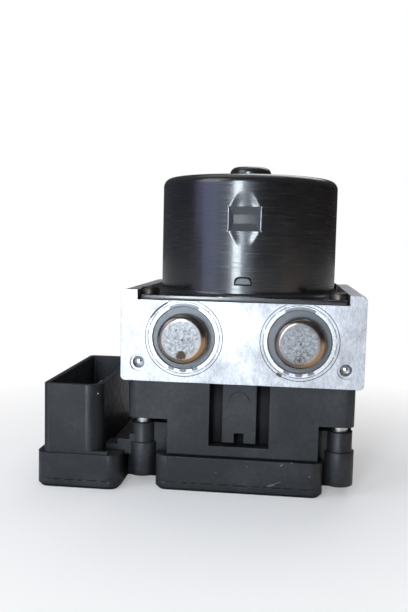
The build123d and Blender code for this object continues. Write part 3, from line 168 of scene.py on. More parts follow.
# Arcs in degrees clockwise from the top of each cap
STAKED_ARCS = ((28, 152), (164, 174), (186, 196), (208, 332))
GAP_ARCS = ((-26, 26), (154, 162), (176, 184), (198, 206))
OUTER_CIRCLE_ARC = (20, 340)
LEFT_STAIN_ARC = (300, 334)
RIGHT_STAIN_ARC = (206, 214)
STAMP_BELOW_CENTRE = 6.4
STAMPED_RINGS = ((1.9, 0.28), (0.85, 0.2))  # radius and width
CROWN_SCRATCH = ((23.2, 0.0, 63.6), (24.0, 0.03, 64.6), (24.9, 0.0, 65.9))  # x, lift and z
PORT_COUNT = 6
PORT_PITCH = 15.5
PORT_HEIGHT = 64.0
PORT_RADIUS = 5.0
WIDE_PORTS = (2, 3)
WIDE_PORT_RADIUS = 6.0
PORT_FIRST_THREAD = 0.8     # from the block's rear face inwards
BRACKET_HOLES = ((-1, 64.0), (1, 66.0))     # side and height
BRACKET_HOLE_Y = (-20.0, 20.0)
BRACKET_HOLE_RADIUS = 3.0
BRACKET_FIRST_THREAD = 49.8     # from the middle outwards
THREAD_DEPTH = 11.0
THREAD_PITCH = 1.0
THREAD_CREST = 0.54         # height of a ridge as a share of the pitch
THREAD_CLEARANCE = 0.04

# ---------- Control unit (millimetres) ----------
BULGE_FRONT = -41.0
PATCH_LIFT = 0.02           # of the nicks off the surface
JOINT_LIFT = 0.015
JOINT_HEIGHT = 3.8
SHROUD_PAN_JOINT = (-80.0, -54.0)   # from and to, along x
MAIN_PAN_JOINT = (-30.5, 30.5)
RIM_NICK_X = -58.4
RIM_NICK_Z = 40.6
RIM_NICK_BEHIND = 1.18      # from the pan's front
# x, z, width and height on the bulge's front
NICKS = (
    (22.1, 14.75, 0.5, 0.35),
    (17.8, 13.4, 0.7, 0.3),
    (18.3, 13.9, 0.3, 0.5),
    (-8.9, 9.0, 0.3, 0.3),
    (4.0, 12.2, 0.35, 0.2),
    (29.5, 9.4, 0.25, 0.4),
)
SCRATCHES = (((11.9, 4.4), (18.2, 6.6)), ((12.4, 4.2), (15.6, 5.0)))  # from and to, x and z
SCRATCH_WIDTH = 0.11
SOFTENED = (("ecu_housing", 0.35), ("ecu_cover", 0.35), ("valve_block", 0.3))
WELD_DISTANCE = 0.00001     # metres


# ---------- Shader helpers ----------
def add_node(tree, kind, inputs=None, **settings):
    """A shader node with its settings, its inputs linked from sockets or set to values."""
    node = tree.nodes.new("ShaderNode" + kind)
    for name, value in settings.items():
        setattr(node, name, value)
    for name, value in (inputs or {}).items():
        if isinstance(value, bpy.types.NodeSocket):
            tree.links.new(value, node.inputs[name])
        else:
            node.inputs[name].default_value = value
    return node


def empty_tree(owner):
    """The cleared node tree of a material or a world."""
    owner.use_nodes = True
    owner.node_tree.nodes.clear()
    return owner.node_tree


def new_material(name):
    """A material with nothing but a Principled shader on its output."""
    material = bpy.data.materials.new(name)
    tree = empty_tree(material)
    shader = add_node(tree, "BsdfPrincipled")
    add_node(tree, "OutputMaterial", {"Surface": shader.outputs["BSDF"]})
    return material, tree, shader


def mixed_output(tree, kind, factor, first, second):
    """Output node of a kind that mixes two shader nodes by a factor."""
    mix = add_node(tree, "MixShader", {0: factor, 1: first.outputs[0], 2: second.outputs[0]})
    add_node(tree, kind, {"Surface": mix.outputs[0]})


def rgba(colour):
    return (*colour, 1.0)


def place(tree, stretch=(1.0, 1.0, 1.0), shift=(0.0, 0.0, 0.0)):
    """The shared frame's coordinates in millimetres, stretched and shifted."""
    inputs = {
        "Vector": add_node(tree, "TexCoord").outputs["Object"],
        "Scale": [factor / MM for factor in stretch],
        "Location": shift,
    }
    return add_node(tree, "Mapping", inputs).outputs["Vector"]


def noise(tree, vector, scale, detail=3.0, roughness=0.55, distortion=0.0):
    """Noise between 0 and 1, about as many features in a millimetre as its scale."""
    inputs = {
        "Vector": vector,
        "Scale": scale,
        "Detail": detail,
        "Roughness": roughness,
        "Distortion": distortion,
    }
    return add_node(tree, "TexNoise", inputs).outputs["Fac"]


def remap(tree, value, low, high, to_low=0.0, to_high=1.0):
    """A value mapped from one range to another and held to its ends."""
    inputs = {0: value, 1: low, 2: high, 3: to_low, 4: to_high}
    return add_node(tree, "MapRange", inputs).outputs[0]


def spread(tree, pattern, to_low=0.0, to_high=1.0):
    """A noise pattern whose usual values fill a range."""
    return remap(tree, pattern, 0.3, 0.7, to_low, to_high)


def math_node(tree, operation, first, second=0.0):
    return add_node(tree, "Math", {0: first, 1: second}, operation=operation).outputs[0]


def mix_colour(tree, factor, first, second, blend="MIX"):
    """Two colours, each a socket or an RGB value, mixed by a factor."""
    first, second = (
        colour if isinstance(colour, bpy.types.NodeSocket) else rgba(colour)
        for colour in (first, second)
    )
    inputs = {0: factor, 6: first, 7: second}
    return add_node(tree, "Mix", inputs, data_type="RGBA", blend_type=blend).outputs[2]


def shaded(tree, colour, shade):
    """A colour multiplied by a shade."""
    return mix_colour(tree, 1.0, colour, shade, "MULTIPLY")


def bump(tree, height, strength, distance, normal=None):
    """Bump normal from a height; distance in millimetres."""
    inputs = {"Height": height, "Strength": strength, "Distance": distance * MM}
    if normal is not None:
        inputs["Normal"] = normal
    return add_node(tree, "Bump", inputs).outputs["Normal"]


def rounded_edges(tree, radius):
    """Normal that rounds the solid's sharp edges by a radius in millimetres."""
    return add_node(tree, "Bevel", {"Radius": radius * MM}, samples=6).outputs["Normal"]


def connect(tree, shader, name, socket):
    tree.links.new(socket, shader.inputs[name])


# ---------- Materials ----------
def metal(name, light, dark, rough, grain=(1.0, 1.0, 1.0), grain_scale=0.8):
    """Bare or plated metal: cloudy colour, uneven roughness and fine tool marks."""
    material, tree, shader = new_material(name)
    shader.inputs["Metallic"].default_value = 1.0
    clouds = noise(tree, place(tree), 0.12, 4.0)
    tooling = noise(tree, place(tree, grain), grain_scale, 3.0)
    cloudy = remap(tree, clouds, 0.35, 0.7)
    connect(tree, shader, "Base Color", mix_colour(tree, cloudy, dark, light))
    connect(tree, shader, "Roughness", spread(tree, tooling, *rough))
    connect(tree, shader, "Normal", bump(tree, tooling, 0.25, 0.05, rounded_edges(tree, 0.15)))
    return material


def plastic(name, base, worn, rough, edge=0.35, texture=0.5):
    """Moulded plastic: mottled, paler where rubbed, with painted shade and more roughness in its
    recesses.
    """
    material, tree, shader = new_material(name)
    shader.inputs["Specular IOR Level"].default_value = PLASTIC_SHINE
    flow = noise(tree, place(tree), 0.045, 4.0, 0.6, 0.4)
    colour = mix_colour(tree, remap(tree, flow, 0.45, 0.75), base, worn)
    mottling = noise(tree, place(tree, shift=(2.0, 6.0, 1.0)), 0.55, 5.0, 0.7)
    colour = shaded(tree, colour, remap(tree, mottling, 0.35, 0.65, 0.62, 1.0))
    # Ambient occlusion paints shade into the colour in recesses and creases.
    open_air = add_node(tree, "AmbientOcclusion", {"Distance": 9.0 * MM}).outputs["AO"]
    painted_recess_shade = remap(tree, open_air, 0.25, 0.85, 0.12, 1.0)
    connect(tree, shader, "Base Color", shaded(tree, colour, painted_recess_shade))
    shine = spread(tree, noise(tree, place(tree), 0.3, 5.0), *rough)
    dull = remap(tree, painted_recess_shade, 0.2, 0.9, 0.9, 0.0)
    connect(tree, shader, "Roughness", math_node(tree, "MAXIMUM", shine, dull))
    grain = noise(tree, place(tree), 2.6, 2.0)
    normal = bump(tree, grain, 0.12 * texture, 0.05, rounded_edges(tree, edge))
    connect(tree, shader, "Normal", normal)
    return material


def block_aluminium():
    """Fly-cut aluminium: clouded brushed faces with crossing strokes and small stains."""
    material, tree, shader = new_material("block_aluminium")
    shader.inputs["Metallic"].default_value = 1.0
    clouds = noise(tree, place(tree), 0.06, 5.0, 0.62, 0.6)
    lines = noise(tree, place(tree, (0.12, 1.0, 1.0)), 2.2, 4.0)
    cross = noise(tree, place(tree, (1.0, 0.2, 0.35)), 1.2, 5.0, 0.65, 1.2)
    cloudy = remap(tree, clouds, 0.35, 0.68)
    colour = mix_colour(tree, cloudy, (0.50, 0.492, 0.515), (0.71, 0.72, 0.74))
    colour = shaded(tree, colour, remap(tree, cross, 0.36, 0.60, 0.70, 1.0))
    spots = noise(tree, place(tree, shift=(3.1, 0.7, 1.9)), 0.35, 6.0, 0.7)
    stained = math_node(tree, "MULTIPLY", remap(tree, spots, 0.66, 0.74), 0.6)
    connect(tree, shader, "Base Color", mix_colour(tree, stained, colour, (0.33, 0.31, 0.29)))
    connect(tree, shader, "Roughness", spread(tree, clouds, 0.52, 0.36))
    relief = math_node(tree, "ADD", lines, cross)
    connect(tree, shader, "Normal", bump(tree, relief, 0.30, 0.07, rounded_edges(tree, 0.3)))
    return material


def can_black():
    """Gloss black coating over drawn steel: fine rings from the drawing, light orange peel."""
    material, tree, shader = new_material("can_black")
    shader.inputs["Specular IOR Level"].default_value = 0.85
    shader.inputs["Coat Weight"].default_value = 0.35
    shader.inputs["Coat Roughness"].default_value = 0.1
    clouds = noise(tree, place(tree, (1.0, 1.0, 1.4)), 0.08, 4.0)
    cloudy = remap(tree, clouds, 0.35, 0.7)
    colour = mix_colour(tree, cloudy, (0.004, 0.0045, 0.006), (0.010, 0.009, 0.009))
    connect(tree, shader, "Base Color", colour)
    rings = noise(tree, place(tree, (0.06, 0.06, 1.0)), 1.5, 3.0)
    connect(tree, shader, "Roughness", spread(tree, rings, 0.19, 0.30))
    peel = noise(tree, place(tree), 1.1, 2.0)
    relief = math_node(tree, "ADD", math_node(tree, "MULTIPLY", rings, 0.3), peel)
    connect(tree, shader, "Normal", bump(tree, relief, 0.10, 0.08))
    return material


def cap_steel():
    """Drawn steel cap: pale speckled crown, smooth dark wall with brown tints and a painted gold
    reflection low on its right, grey flange.
    """
    material, tree, shader = new_material("cap_steel")
    shader.inputs["Metallic"].default_value = 1.0
    x, _, z = add_node(tree, "SeparateXYZ", {0: place(tree)}).outputs
    across = math_node(tree, "SUBTRACT", math_node(tree, "ABSOLUTE", x), ACCUMULATOR_X)
    up = math_node(tree, "SUBTRACT", z, ACCUMULATOR_Z)
    flat = add_node(tree, "CombineXYZ", {0: across, 1: up}).outputs[0]
    radius = add_node(tree, "VectorMath", {0: flat}, operation="LENGTH").outputs["Value"]
    speckle = noise(tree, place(tree), 0.9, 7.0, 0.75)

    speckled = remap(tree, speckle, 0.40, 0.62)
    crown = mix_colour(tree, speckled, (0.15, 0.15, 0.152), (0.35, 0.355, 0.365))
    spots = noise(tree, place(tree, shift=(9.0, 4.0, 2.0)), 0.5, 6.0, 0.7)
    dirt = math_node(tree, "MULTIPLY", remap(tree, spots, 0.60, 0.68), 0.8)
    crown = mix_colour(tree, dirt, crown, (0.06, 0.048, 0.035))

    patches = noise(tree, place(tree, shift=(5.0, 2.0, 8.0)), 0.22, 4.0)
    browned = remap(tree, patches, 0.36, 0.56, 0.15, 0.6)
    wall = mix_colour(tree, browned, (0.22, 0.217, 0.215), (0.20, 0.15, 0.12))
    # Gold towards the lower right of each wall is a painted reflection.
    rightwards = math_node(tree, "MULTIPLY", across, math_node(tree, "SIGN", x))
    painted_reflection_lower_right = remap(tree, math_node(tree, "SUBTRACT", rightwards, up), 5.0, 12.0)
    wall = mix_colour(tree, painted_reflection_lower_right, wall, (0.42, 0.27, 0.15))

    flange = mix_colour(tree, speckle, (0.09, 0.095, 0.10), (0.19, 0.197, 0.205))
    colour = mix_colour(tree, remap(tree, radius, *CROWN_EDGE), crown, wall)
    colour = mix_colour(tree, remap(tree, radius, *WALL_FOOT), colour, flange)
    connect(tree, shader, "Base Color", colour)
    smoother_wall = remap(tree, radius, *CROWN_EDGE, 0.42, 0.26)
    rougher_flange = remap(tree, radius, *WALL_FOOT, 0.0, 0.18)
    connect(tree, shader, "Roughness", math_node(tree, "ADD", smoother_wall, rougher_flange))
    connect(tree, shader, "Normal", bump(tree, speckle, 0.25, 0.06, rounded_edges(tree, 0.2)))
    return material


def marks(name, colour, rough, metallic=0.0):
    """Small marks such as scribed lines, nicks and dirt, their tone broken up by fine noise."""
    material, tree, shader = new_material(name)
    shader.inputs["Metallic"].default_value = metallic
    grain = noise(tree, place(tree), 1.8, 4.0, 0.6)
    darker = [channel * 0.55 for channel in colour]
    connect(tree, shader, "Base Color", mix_colour(tree, spread(tree, grain), darker, colour))
    connect(tree, shader, "Roughness", spread(tree, grain, rough, rough + 0.15))
    return material


# Pale and dark colour, least and greatest roughness, then the grain's stretch and scale
METALS = {
    "zinc_steel": ((0.72, 0.70, 0.64), (0.52, 0.51, 0.47), (0.28, 0.42)),
    "bright_steel": ((0.80, 0.80, 0.80), (0.58, 0.57, 0.55), (0.12, 0.25)),
    "spring_steel": ((0.36, 0.36, 0.37), (0.22, 0.22, 0.24), (0.3, 0.45)),
    "valve_steel": ((0.62, 0.62, 0.63), (0.45, 0.45, 0.46), (0.25, 0.4), (1, 1, 6)),
    "coil_yoke_steel": ((0.56, 0.56, 0.55), (0.40, 0.40, 0.39), (0.35, 0.5)),
    "core_laminations": (
        (0.28, 0.28, 0.29), (0.14, 0.14, 0.15), (0.4, 0.6), (0.1, 0.1, 3.0), 1.0
    ),
    "winding_copper": ((0.78, 0.36, 0.17), (0.50, 0.20, 0.09), (0.25, 0.4)),
    "tinned_contacts": ((0.78, 0.76, 0.70), (0.60, 0.58, 0.52), (0.25, 0.4)),
    "piston_aluminium": ((0.76, 0.76, 0.78), (0.60, 0.60, 0.62), (0.3, 0.45)),
    "screw_black": ((0.12, 0.105, 0.09), (0.06, 0.052, 0.045), (0.35, 0.5)),
}
# Colour, rubbed colour, least and greatest roughness, then edge radius and texture strength
PLASTICS = {
    "ferrite": ((0.05, 0.05, 0.055), (0.09, 0.09, 0.09), (0.6, 0.8)),
    "brush_carbon": ((0.02, 0.02, 0.02), (0.06, 0.06, 0.06), (0.5, 0.7)),
    "housing_plastic": (
        (0.019, 0.0205, 0.0225), (0.044, 0.046, 0.049), (0.32, 0.52), 0.5, 2.4
    ),
    "insert_plastic": ((0.014, 0.014, 0.016), (0.028, 0.028, 0.03), (0.45, 0.6)),
    "board_laminate": ((0.010, 0.10, 0.045), (0.02, 0.16, 0.07), (0.3, 0.45)),
    "seal_rubber": ((0.012, 0.012, 0.012), (0.03, 0.03, 0.03), (0.6, 0.8)),
}
# Colour, least roughness, then how metallic
MARKS = {
    "scribed_line": ((0.05, 0.045, 0.04), 0.6),
    "dirt": ((0.10, 0.065, 0.04), 0.75),
    # Steel in the staked lip's gaps, darkened as painted shade.
    "gap_steel_painted_shade": ((0.26, 0.27, 0.28), 0.4, 1.0),
    # Painted sheen: lighter grey inside the can's stamped mark.
    "mark_painted_sheen": ((0.15, 0.16, 0.17), 0.35),
    # Painted sheen: lighter grey inside the can's pressed stops.
    "stop_painted_sheen": ((0.075, 0.08, 0.085), 0.33),
    "joint_shadow": ((0.004, 0.004, 0.004), 0.9),
    "scuffed_plastic": ((0.42, 0.43, 0.44), 0.55),
    "staked_aluminium": ((0.84, 0.84, 0.85), 0.32, 1.0),
    "rubbed_steel": ((0.75, 0.80, 0.86), 0.25, 1.0),
}
MATERIALS = {
    "block_aluminium": block_aluminium(),
    "motor_black": can_black(),
    "cap_steel": cap_steel(),
}
for make_material, table in ((metal, METALS), (plastic, PLASTICS), (marks, MARKS)):
    MATERIALS.update({name: make_material(name, *values) for name, values in table.items()})
# The record's material slot for each CAD node
SLOT_OF_NODE = {part["node"]: part["material_slot"] for part in frame["record"]["subparts"]}


def dress(piece, *slots):
    """Give a piece its materials."""
    # clear() sets every face back to the first material, so a fresh mesh is left alone.
    if piece.data.materials:
        piece.data.materials.clear()
    for name in slots:
        piece.data.materials.append(MATERIALS[name])


for node_name, node_object in frame["nodes"].items():
    node_object.data.materials.clear()
    node_object.data.materials.append(MATERIALS[SLOT_OF_NODE[node_name]])


# ---------- Mesh helpers ----------
def to_piece(name, mesh_data, body, *slots):
    """A new object from a bmesh in millimetres, with its materials, riding on a body."""
    bmesh.ops.recalc_face_normals(mesh_data, faces=mesh_data.faces)
    mesh_data.transform(Matrix.Scale(MM, 4))
    mesh = bpy.data.meshes.new(name)
    mesh_data.to_mesh(mesh)
    mesh_data.free()
    piece = bpy.data.objects.new(name, mesh)
    bpy.context.scene.collection.objects.link(piece)
    dress(piece, *slots)
    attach(piece, body)
    return piece


def shade_smooth(piece, degrees):
    """Smooth shading that keeps edges sharper than an angle."""
    mesh = piece.data
    mesh.shade_smooth()
    mesh.set_sharp_from_angle(angle=math.radians(degrees))


def grid_faces(mesh_data, rows, closed):
    """Quads between successive rows of vertices."""
    for lower, upper in zip(rows, rows[1:]):
        count = len(lower)
        for index in range(count if closed else count - 1):
            after = (index + 1) % count
            mesh_data.faces.new((lower[index], lower[after], upper[after], upper[index]))


def arc_points(centre, radius, start, end, steps):
    """Points of an arc in a plane, angles in degrees."""
    points = []
    for step in range(steps + 1):
        angle = math.radians(start + (end - start) * step / steps)
        points.append((centre[0] + radius * math.cos(angle), centre[1] + radius * math.sin(angle)))
    return points


def full_turn(count):
    """Angles in radians that divide a full turn evenly."""
    return [2 * math.pi * index / count for index in range(count)]


def spaced(start, end, step):
    """Evenly spaced values from start to end, about a step apart."""
    count = max(1, round((end - start) / step))
    return [start + (end - start) * index / count for index in range(count + 1)]


# ---------- Motor can ----------
def stop_depth(x, z):
    """How far the can's wall is pressed in at a magnet stop, x and z from its centre."""
    beyond = abs(z) - STOP_HALF_HEIGHT
    if beyond < 0:
        if abs(x) >= STOP_HALF_WIDTH:
            return 0.0
        run = min((STOP_HALF_WIDTH - abs(x)) / STOP_SIDE_RUN, -beyond / STOP_END_RUN, 1.0)
        return STOP_RIM_DEPTH + (STOP_DEPTH - STOP_RIM_DEPTH) * run
    share = beyond / FLARE_LENGTH
    half_width = STOP_HALF_WIDTH * (1 - FLARE_NARROWING * min(share, 1.0))
    if share >= 1 or abs(x) >= half_width:
        return 0.0
    across = 0.5 + 0.5 * math.cos(math.pi * (x / half_width) ** 2)
    along = 0.5 + 0.5 * math.cos(math.pi * share)
    return FLARE_DEPTH * across * along


def mark_depth(x, z):
    """Depth of the stamped outline with its arched top, z above its foot."""
    def inside(half_width, foot, top):
        if abs(x) > half_width or z < foot:
            return False
        return z < top - MARK_CROWN * abs(x / half_width) ** 5

    if not inside(MARK_HALF_WIDTH, 0.0, MARK_HEIGHT):
        return 0.0
    if inside(MARK_HALF_WIDTH - MARK_LINE, MARK_LINE, MARK_HEIGHT - MARK_LINE):
        return MARK_DEPTH / 3
    return MARK_DEPTH


def press_depth(angle, height):
    """How far the side wall is pressed in, by angle from the front and height off the floor."""
    facing = math.cos(angle)
    if abs(facing) <= 0.5:
        return 0.0
    x = CAN_RADIUS * math.sin(angle)
    depth = stop_depth(x, height - STOP_ABOVE_FLOOR)
    if facing > 0:
        depth += mark_depth(x, height - MARK_ABOVE_FLOOR)
    return depth


def can_angles():
    """Angles round the can, close together at the two magnet stops."""
    edge = STOP_HALF_WIDTH
    fine = spaced(-edge - STOP_MARGIN, -edge - STEP_LEAD, MARGIN_STEP)
    fine += spaced(-edge + STEP_LEAD, edge - STEP_LEAD, STOP_STEP)
    fine += spaced(edge + STEP_LEAD, edge + STOP_MARGIN, MARGIN_STEP)
    fine = [math.asin(x / CAN_RADIUS) for x in fine]
    coarse = spaced(fine[-1], math.pi - fine[-1], math.radians(ROUND_STEP))[1:-1]
    front = fine + coarse
    return front + [angle + math.pi for angle in front]


def can_heights(floor, corner_start):
    """Heights up the can's side wall, close together at the mark and the magnet stops."""
    mark = floor + MARK_ABOVE_FLOOR
    mark_top = mark + MARK_HEIGHT
    stop = floor + STOP_ABOVE_FLOOR
    low, high = stop - STOP_HALF_HEIGHT, stop + STOP_HALF_HEIGHT
    flare_top = min(high + FLARE_LENGTH, corner_start - 0.4)
    heights = spaced(floor + FLANGE_THICKNESS + FOOT_FILLET, mark - 0.3, FOOT_STEP)
    heights += spaced(mark - 0.1, mark_top + 0.1, MARK_STEP)
    heights += spaced(mark_top + 0.5, low - FLARE_LENGTH - 0.5, PLAIN_STEP)
    heights += spaced(low - FLARE_LENGTH, low - STEP_LEAD, FLARE_STEP)
    heights += spaced(low + STEP_LEAD, high - STEP_LEAD, FLARE_STEP)
    heights += spaced(high + STEP_LEAD, flare_top, FLARE_STEP)
    return heights + [corner_start]


def can_profile(floor, top):
    """Radii and heights of the can's foot, of its side wall, and of its crown and boss."""
    flange_top = floor + FLANGE_THICKNESS
    can_top = top - BOSS_HEIGHT
    corner = can_top - CAN_CORNER
    foot_centre = (CAN_RADIUS + FOOT_FILLET, flange_top + FOOT_FILLET)
    foot = [(CAN_RADIUS + FOOT_FILLET, flange_top - FOOT_SINK)]
    foot += arc_points(foot_centre, FOOT_FILLET, 270, 180, 8)[:-1]
    side = [(CAN_RADIUS, height) for height in can_heights(floor, corner)]
    crown = arc_points((CAN_RADIUS - CAN_CORNER, corner), CAN_CORNER, 0, 90, 10)[1:]
    crown += [(radius, can_top) for radius in CROWN_RINGS]
    boss_foot = (BOSS_RADIUS + BOSS_FILLET, can_top + BOSS_FILLET)
    crown += arc_points(boss_foot, BOSS_FILLET, 270, 180, 5)
    crown += arc_points((BOSS_RADIUS - BOSS_CORNER, top - BOSS_CORNER), BOSS_CORNER, 0, 90, 8)
    crown += [(BOSS_FACE_RADIUS, top)]
    return foot, side, crown


def can_face_material(centre, floor):
    """Material of a skin face: rubbed stop sides, painted sheen in the stops and mark, painted
    shadow round the mark.
    """
    if abs(centre.y) <= CAN_RADIUS / 2:
        return "motor_black"
    if abs(centre.z - (floor + STOP_ABOVE_FLOOR)) < STOP_HALF_HEIGHT:
        if abs(abs(centre.x) - STOP_HALF_WIDTH) < 1.5 * STEP_LEAD:
            return "rubbed_steel"
        # Inside a stop the faces carry painted sheen.
        if abs(centre.x) < STOP_HALF_WIDTH - 0.1:
            return "stop_painted_sheen"
    pressed = mark_depth(centre.x, centre.z - floor - MARK_ABOVE_FLOOR)
    # Inside the mark the faces carry painted sheen; its outline carries painted shadow.
    if centre.y < 0 and pressed > 0:
        return "joint_shadow" if pressed == MARK_DEPTH else "mark_painted_sheen"
    return "motor_black"


def motor_can():
    """The can's outer skin with its pressed stops and mark."""
    low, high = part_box("motor_can")
    floor, top = low.z / MM, high.z / MM
    half_depth = high.y / MM
    angles = can_angles()
    foot, side, crown = can_profile(floor, top)
    mesh_data = bmesh.new()
    rows = []
    for points, is_side in ((foot, False), (side, True), (crown, False)):
        for radius, height in points:
            row = []
            for angle in angles:
                reach = radius - (press_depth(angle, height - floor) if is_side else 0.0)
                y = max(-half_depth, min(half_depth, -reach * math.cos(angle)))
                row.append(mesh_data.verts.new((reach * math.sin(angle), y, height)))
            rows.append(row)
    grid_faces(mesh_data, rows, True)
    mesh_data.faces.new(rows[-1])
    for face in mesh_data.faces:
        material = can_face_material(face.calc_center_median(), floor)
        face.material_index = CAN_MATERIALS.index(material)
    piece = to_piece("motor_can_skin", mesh_data, ROOT, *CAN_MATERIALS)
    shade_smooth(piece, 40)
    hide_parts("motor_can")


def motor_flange():
    """The can's flange: a plate with rounded corners and softened edges."""
    can_low, can_high = [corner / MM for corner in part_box("motor_can")]
    x0, y0, z0 = can_low
    x1, y1 = can_high.x, can_high.y
    outline = []
    for x, y, start in ((x1, y1, 0), (x0, y1, 90), (x0, y0, 180), (x1, y0, 270)):
        centre = (x - math.copysign(FLANGE_CORNER, x), y - math.copysign(FLANGE_CORNER, y))
        outline += arc_points(centre, FLANGE_CORNER, start, start + 90, 6)
    mesh_data = bmesh.new()
    face = mesh_data.faces.new([mesh_data.verts.new((x, y, z0)) for x, y in outline])
    raised = bmesh.ops.extrude_face_region(mesh_data, geom=[face])["geom"]
    moved = [item for item in raised if isinstance(item, bmesh.types.BMVert)]
    bmesh.ops.translate(mesh_data, verts=moved, vec=(0, 0, FLANGE_THICKNESS))
    rims = [e for e in mesh_data.edges if abs(e.verts[0].co.z - e.verts[1].co.z) < 1e-6]
    bmesh.ops.bevel(
        mesh_data, geom=rims, offset=FLANGE_EDGE, segments=2, profile=0.5, affect="EDGES"
    )
    shade_smooth(to_piece("motor_flange", mesh_data, ROOT, "motor_black"), 35)


# ---------- Springs ----------
def compressing_spring(spring):
    """Copy of a CAD spring that stands in for the CAD node, riding on the root body."""
    source = frame["nodes"][spring["node"]]
    mesh = source.data.copy()
    mesh.transform(source.matrix_world)
    piece = bpy.data.objects.new(spring["node"] + "_coil", mesh)
    bpy.context.scene.collection.objects.link(piece)
    dress(piece, SLOT_OF_NODE[spring["node"]])
    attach(piece, ROOT)
    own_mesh(piece)
    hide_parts(spring["node"])


def compressing_springs():
    """The springs that the record's joints deform."""
    for joint in frame["record"]["behaviour"]["joints"]:
        for spring in joint.get("deforming_nodes", ()):
            compressing_spring(spring)


# ---------- Round details ----------
def add_tube(mesh_data, points, radius, sides=8):
    """A closed-ended round bead through points that lie across the front."""
    # The tilt keeps this direction from lining up with a bead.
    outwards = Vector((0, 1, 0.013))
    rows = []
    last = len(points) - 1
    for number, point in enumerate(points):
        before = Vector(points[max(number - 1, 0)])
        after = Vector(points[min(number + 1, last)])
        along = (after - before).normalized()
        across = along.cross(outwards).normalized()
        third = along.cross(across)
        size = radius * (BEAD_TIP if number in (0, last) else 1.0)
        row = []
        for angle in full_turn(sides):
            offset = across * math.cos(angle) * size + third * math.sin(angle) * size
            row.append(mesh_data.verts.new(Vector(point) + offset))
        rows.append(row)
    grid_faces(mesh_data, rows, True)
    mesh_data.faces.new(rows[0])
    mesh_data.faces.new(rows[-1])


def stop_glints():
    """Rubbed bright beads along the sheared sides of the two stops, curled at their ends."""
    low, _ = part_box("motor_can")
    centre = low.z / MM + STOP_ABOVE_FLOOR
    mesh_data = bmesh.new()
    for face in (-1, 1):
        for side in (-1, 1):
            points = []
            for x, z in STOP_EDGE_POINTS:
                reach = math.sqrt(CAN_RADIUS ** 2 - x ** 2) - BEAD_SINK
                points.append((side * x, face * reach, centre + z))
            add_tube(mesh_data, points, BEAD_RADIUS)
    piece = to_piece("stop_edges", mesh_data, ROOT, "rubbed_steel")
    shade_smooth(piece, 60)


def out_of_front(centre_x, centre_z, radius, angle, lift):
    """Point on the block's front face, from polar coordinates round an axis, lifted off it."""
    x = centre_x + radius * math.sin(angle)
    z = centre_z + radius * math.cos(angle)
    return (x, BLOCK_FRONT - lift, z)


def add_arc_band(mesh_data, centre, band, start, end, step=3.0):
    """Low bevelled band on the block's front, angles in degrees clockwise from the top."""
    inner, outer, lift = band
    count = max(2, round((end - start) / step))
    edge = min(BAND_EDGE, (outer - inner) / 3)
    profile = ((inner, 0.0), (inner + edge, lift), (outer - edge, lift), (outer, 0.0))
    rows = []
    for index in range(count + 1):
        angle = math.radians(start + (end - start) * index / count)
        rows.append([mesh_data.verts.new(out_of_front(*centre, r, angle, h)) for r, h in profile])
    grid_faces(mesh_data, rows, False)


def add_broken_circle(mesh_data, centre):
    """Scribed circle in pieces of random length."""
    angle = random.uniform(0, 20)
    while angle < 360:
        length = random.uniform(14, 46)
        add_arc_band(mesh_data, centre, BROKEN_CIRCLE, angle, min(angle + length, 360))
        angle += length + random.uniform(2, 9)


def add_ring_dirt(mesh_data, centre):
    """Specks of dirt along the staked ring, mostly at its sides."""
    for _ in range(26):
        near_left, near_right = random.gauss(285, 30), random.gauss(75, 28)
        angle = random.choice((near_left, near_right, random.uniform(0, 360)))
        radius = random.uniform(14.5, 15.1)
        width = random.uniform(0.5, 1.6)
        band = (radius, radius + random.uniform(0.12, 0.45), RING_DIRT_LIFT)
        add_arc_band(mesh_data, centre, band, angle, angle + width, 1.0)


def accumulator_details():
    """Staked lip with steel in its gaps darkened as painted shade, scribed circles and dirt round
    the two accumulator caps.
    """
    lips, gaps, lines, dirt = (bmesh.new() for _ in range(4))
    left, right = ((side * ACCUMULATOR_X, ACCUMULATOR_Z) for side in (-1, 1))
    for centre in (left, right):
        for start, end in STAKED_ARCS:
            add_arc_band(lips, centre, STAKED_LIP, start, end)
        for start, end in GAP_ARCS:
            add_arc_band(gaps, centre, STAKE_GAP, start, end)
        add_arc_band(lines, centre, INNER_CIRCLE, 0, 360)
        add_arc_band(lines, centre, OUTER_CIRCLE, *OUTER_CIRCLE_ARC)
        add_broken_circle(lines, centre)
        add_ring_dirt(dirt, centre)
    add_arc_band(dirt, left, LEFT_STAIN, *LEFT_STAIN_ARC)
    add_arc_band(dirt, right, RIGHT_STAIN, *RIGHT_STAIN_ARC)
    for name, mesh_data, slot in (
        ("staked_lips", lips, "staked_aluminium"),
        ("stake_gaps", gaps, "gap_steel_painted_shade"),
        ("scribed_circles", lines, "scribed_line"),
        ("ring_dirt", dirt, "dirt"),
    ):
        shade_smooth(to_piece(name, mesh_data, ROOT, slot), 50)


def add_stamped_ring(mesh_data, centre, radius, width, lift):
    """Raised ring with a ridge in its middle."""
    profile = ((radius - width / 2, -0.01), (radius, 0.05), (radius + width / 2, -0.01))
    rows = []
    for degrees in range(0, 370, 10):
        angle = math.radians(degrees)
        points = [out_of_front(*centre, r, angle, lift + h) for r, h in profile]
        rows.append([mesh_data.verts.new(point) for point in points])
    grid_faces(mesh_data, rows, False)


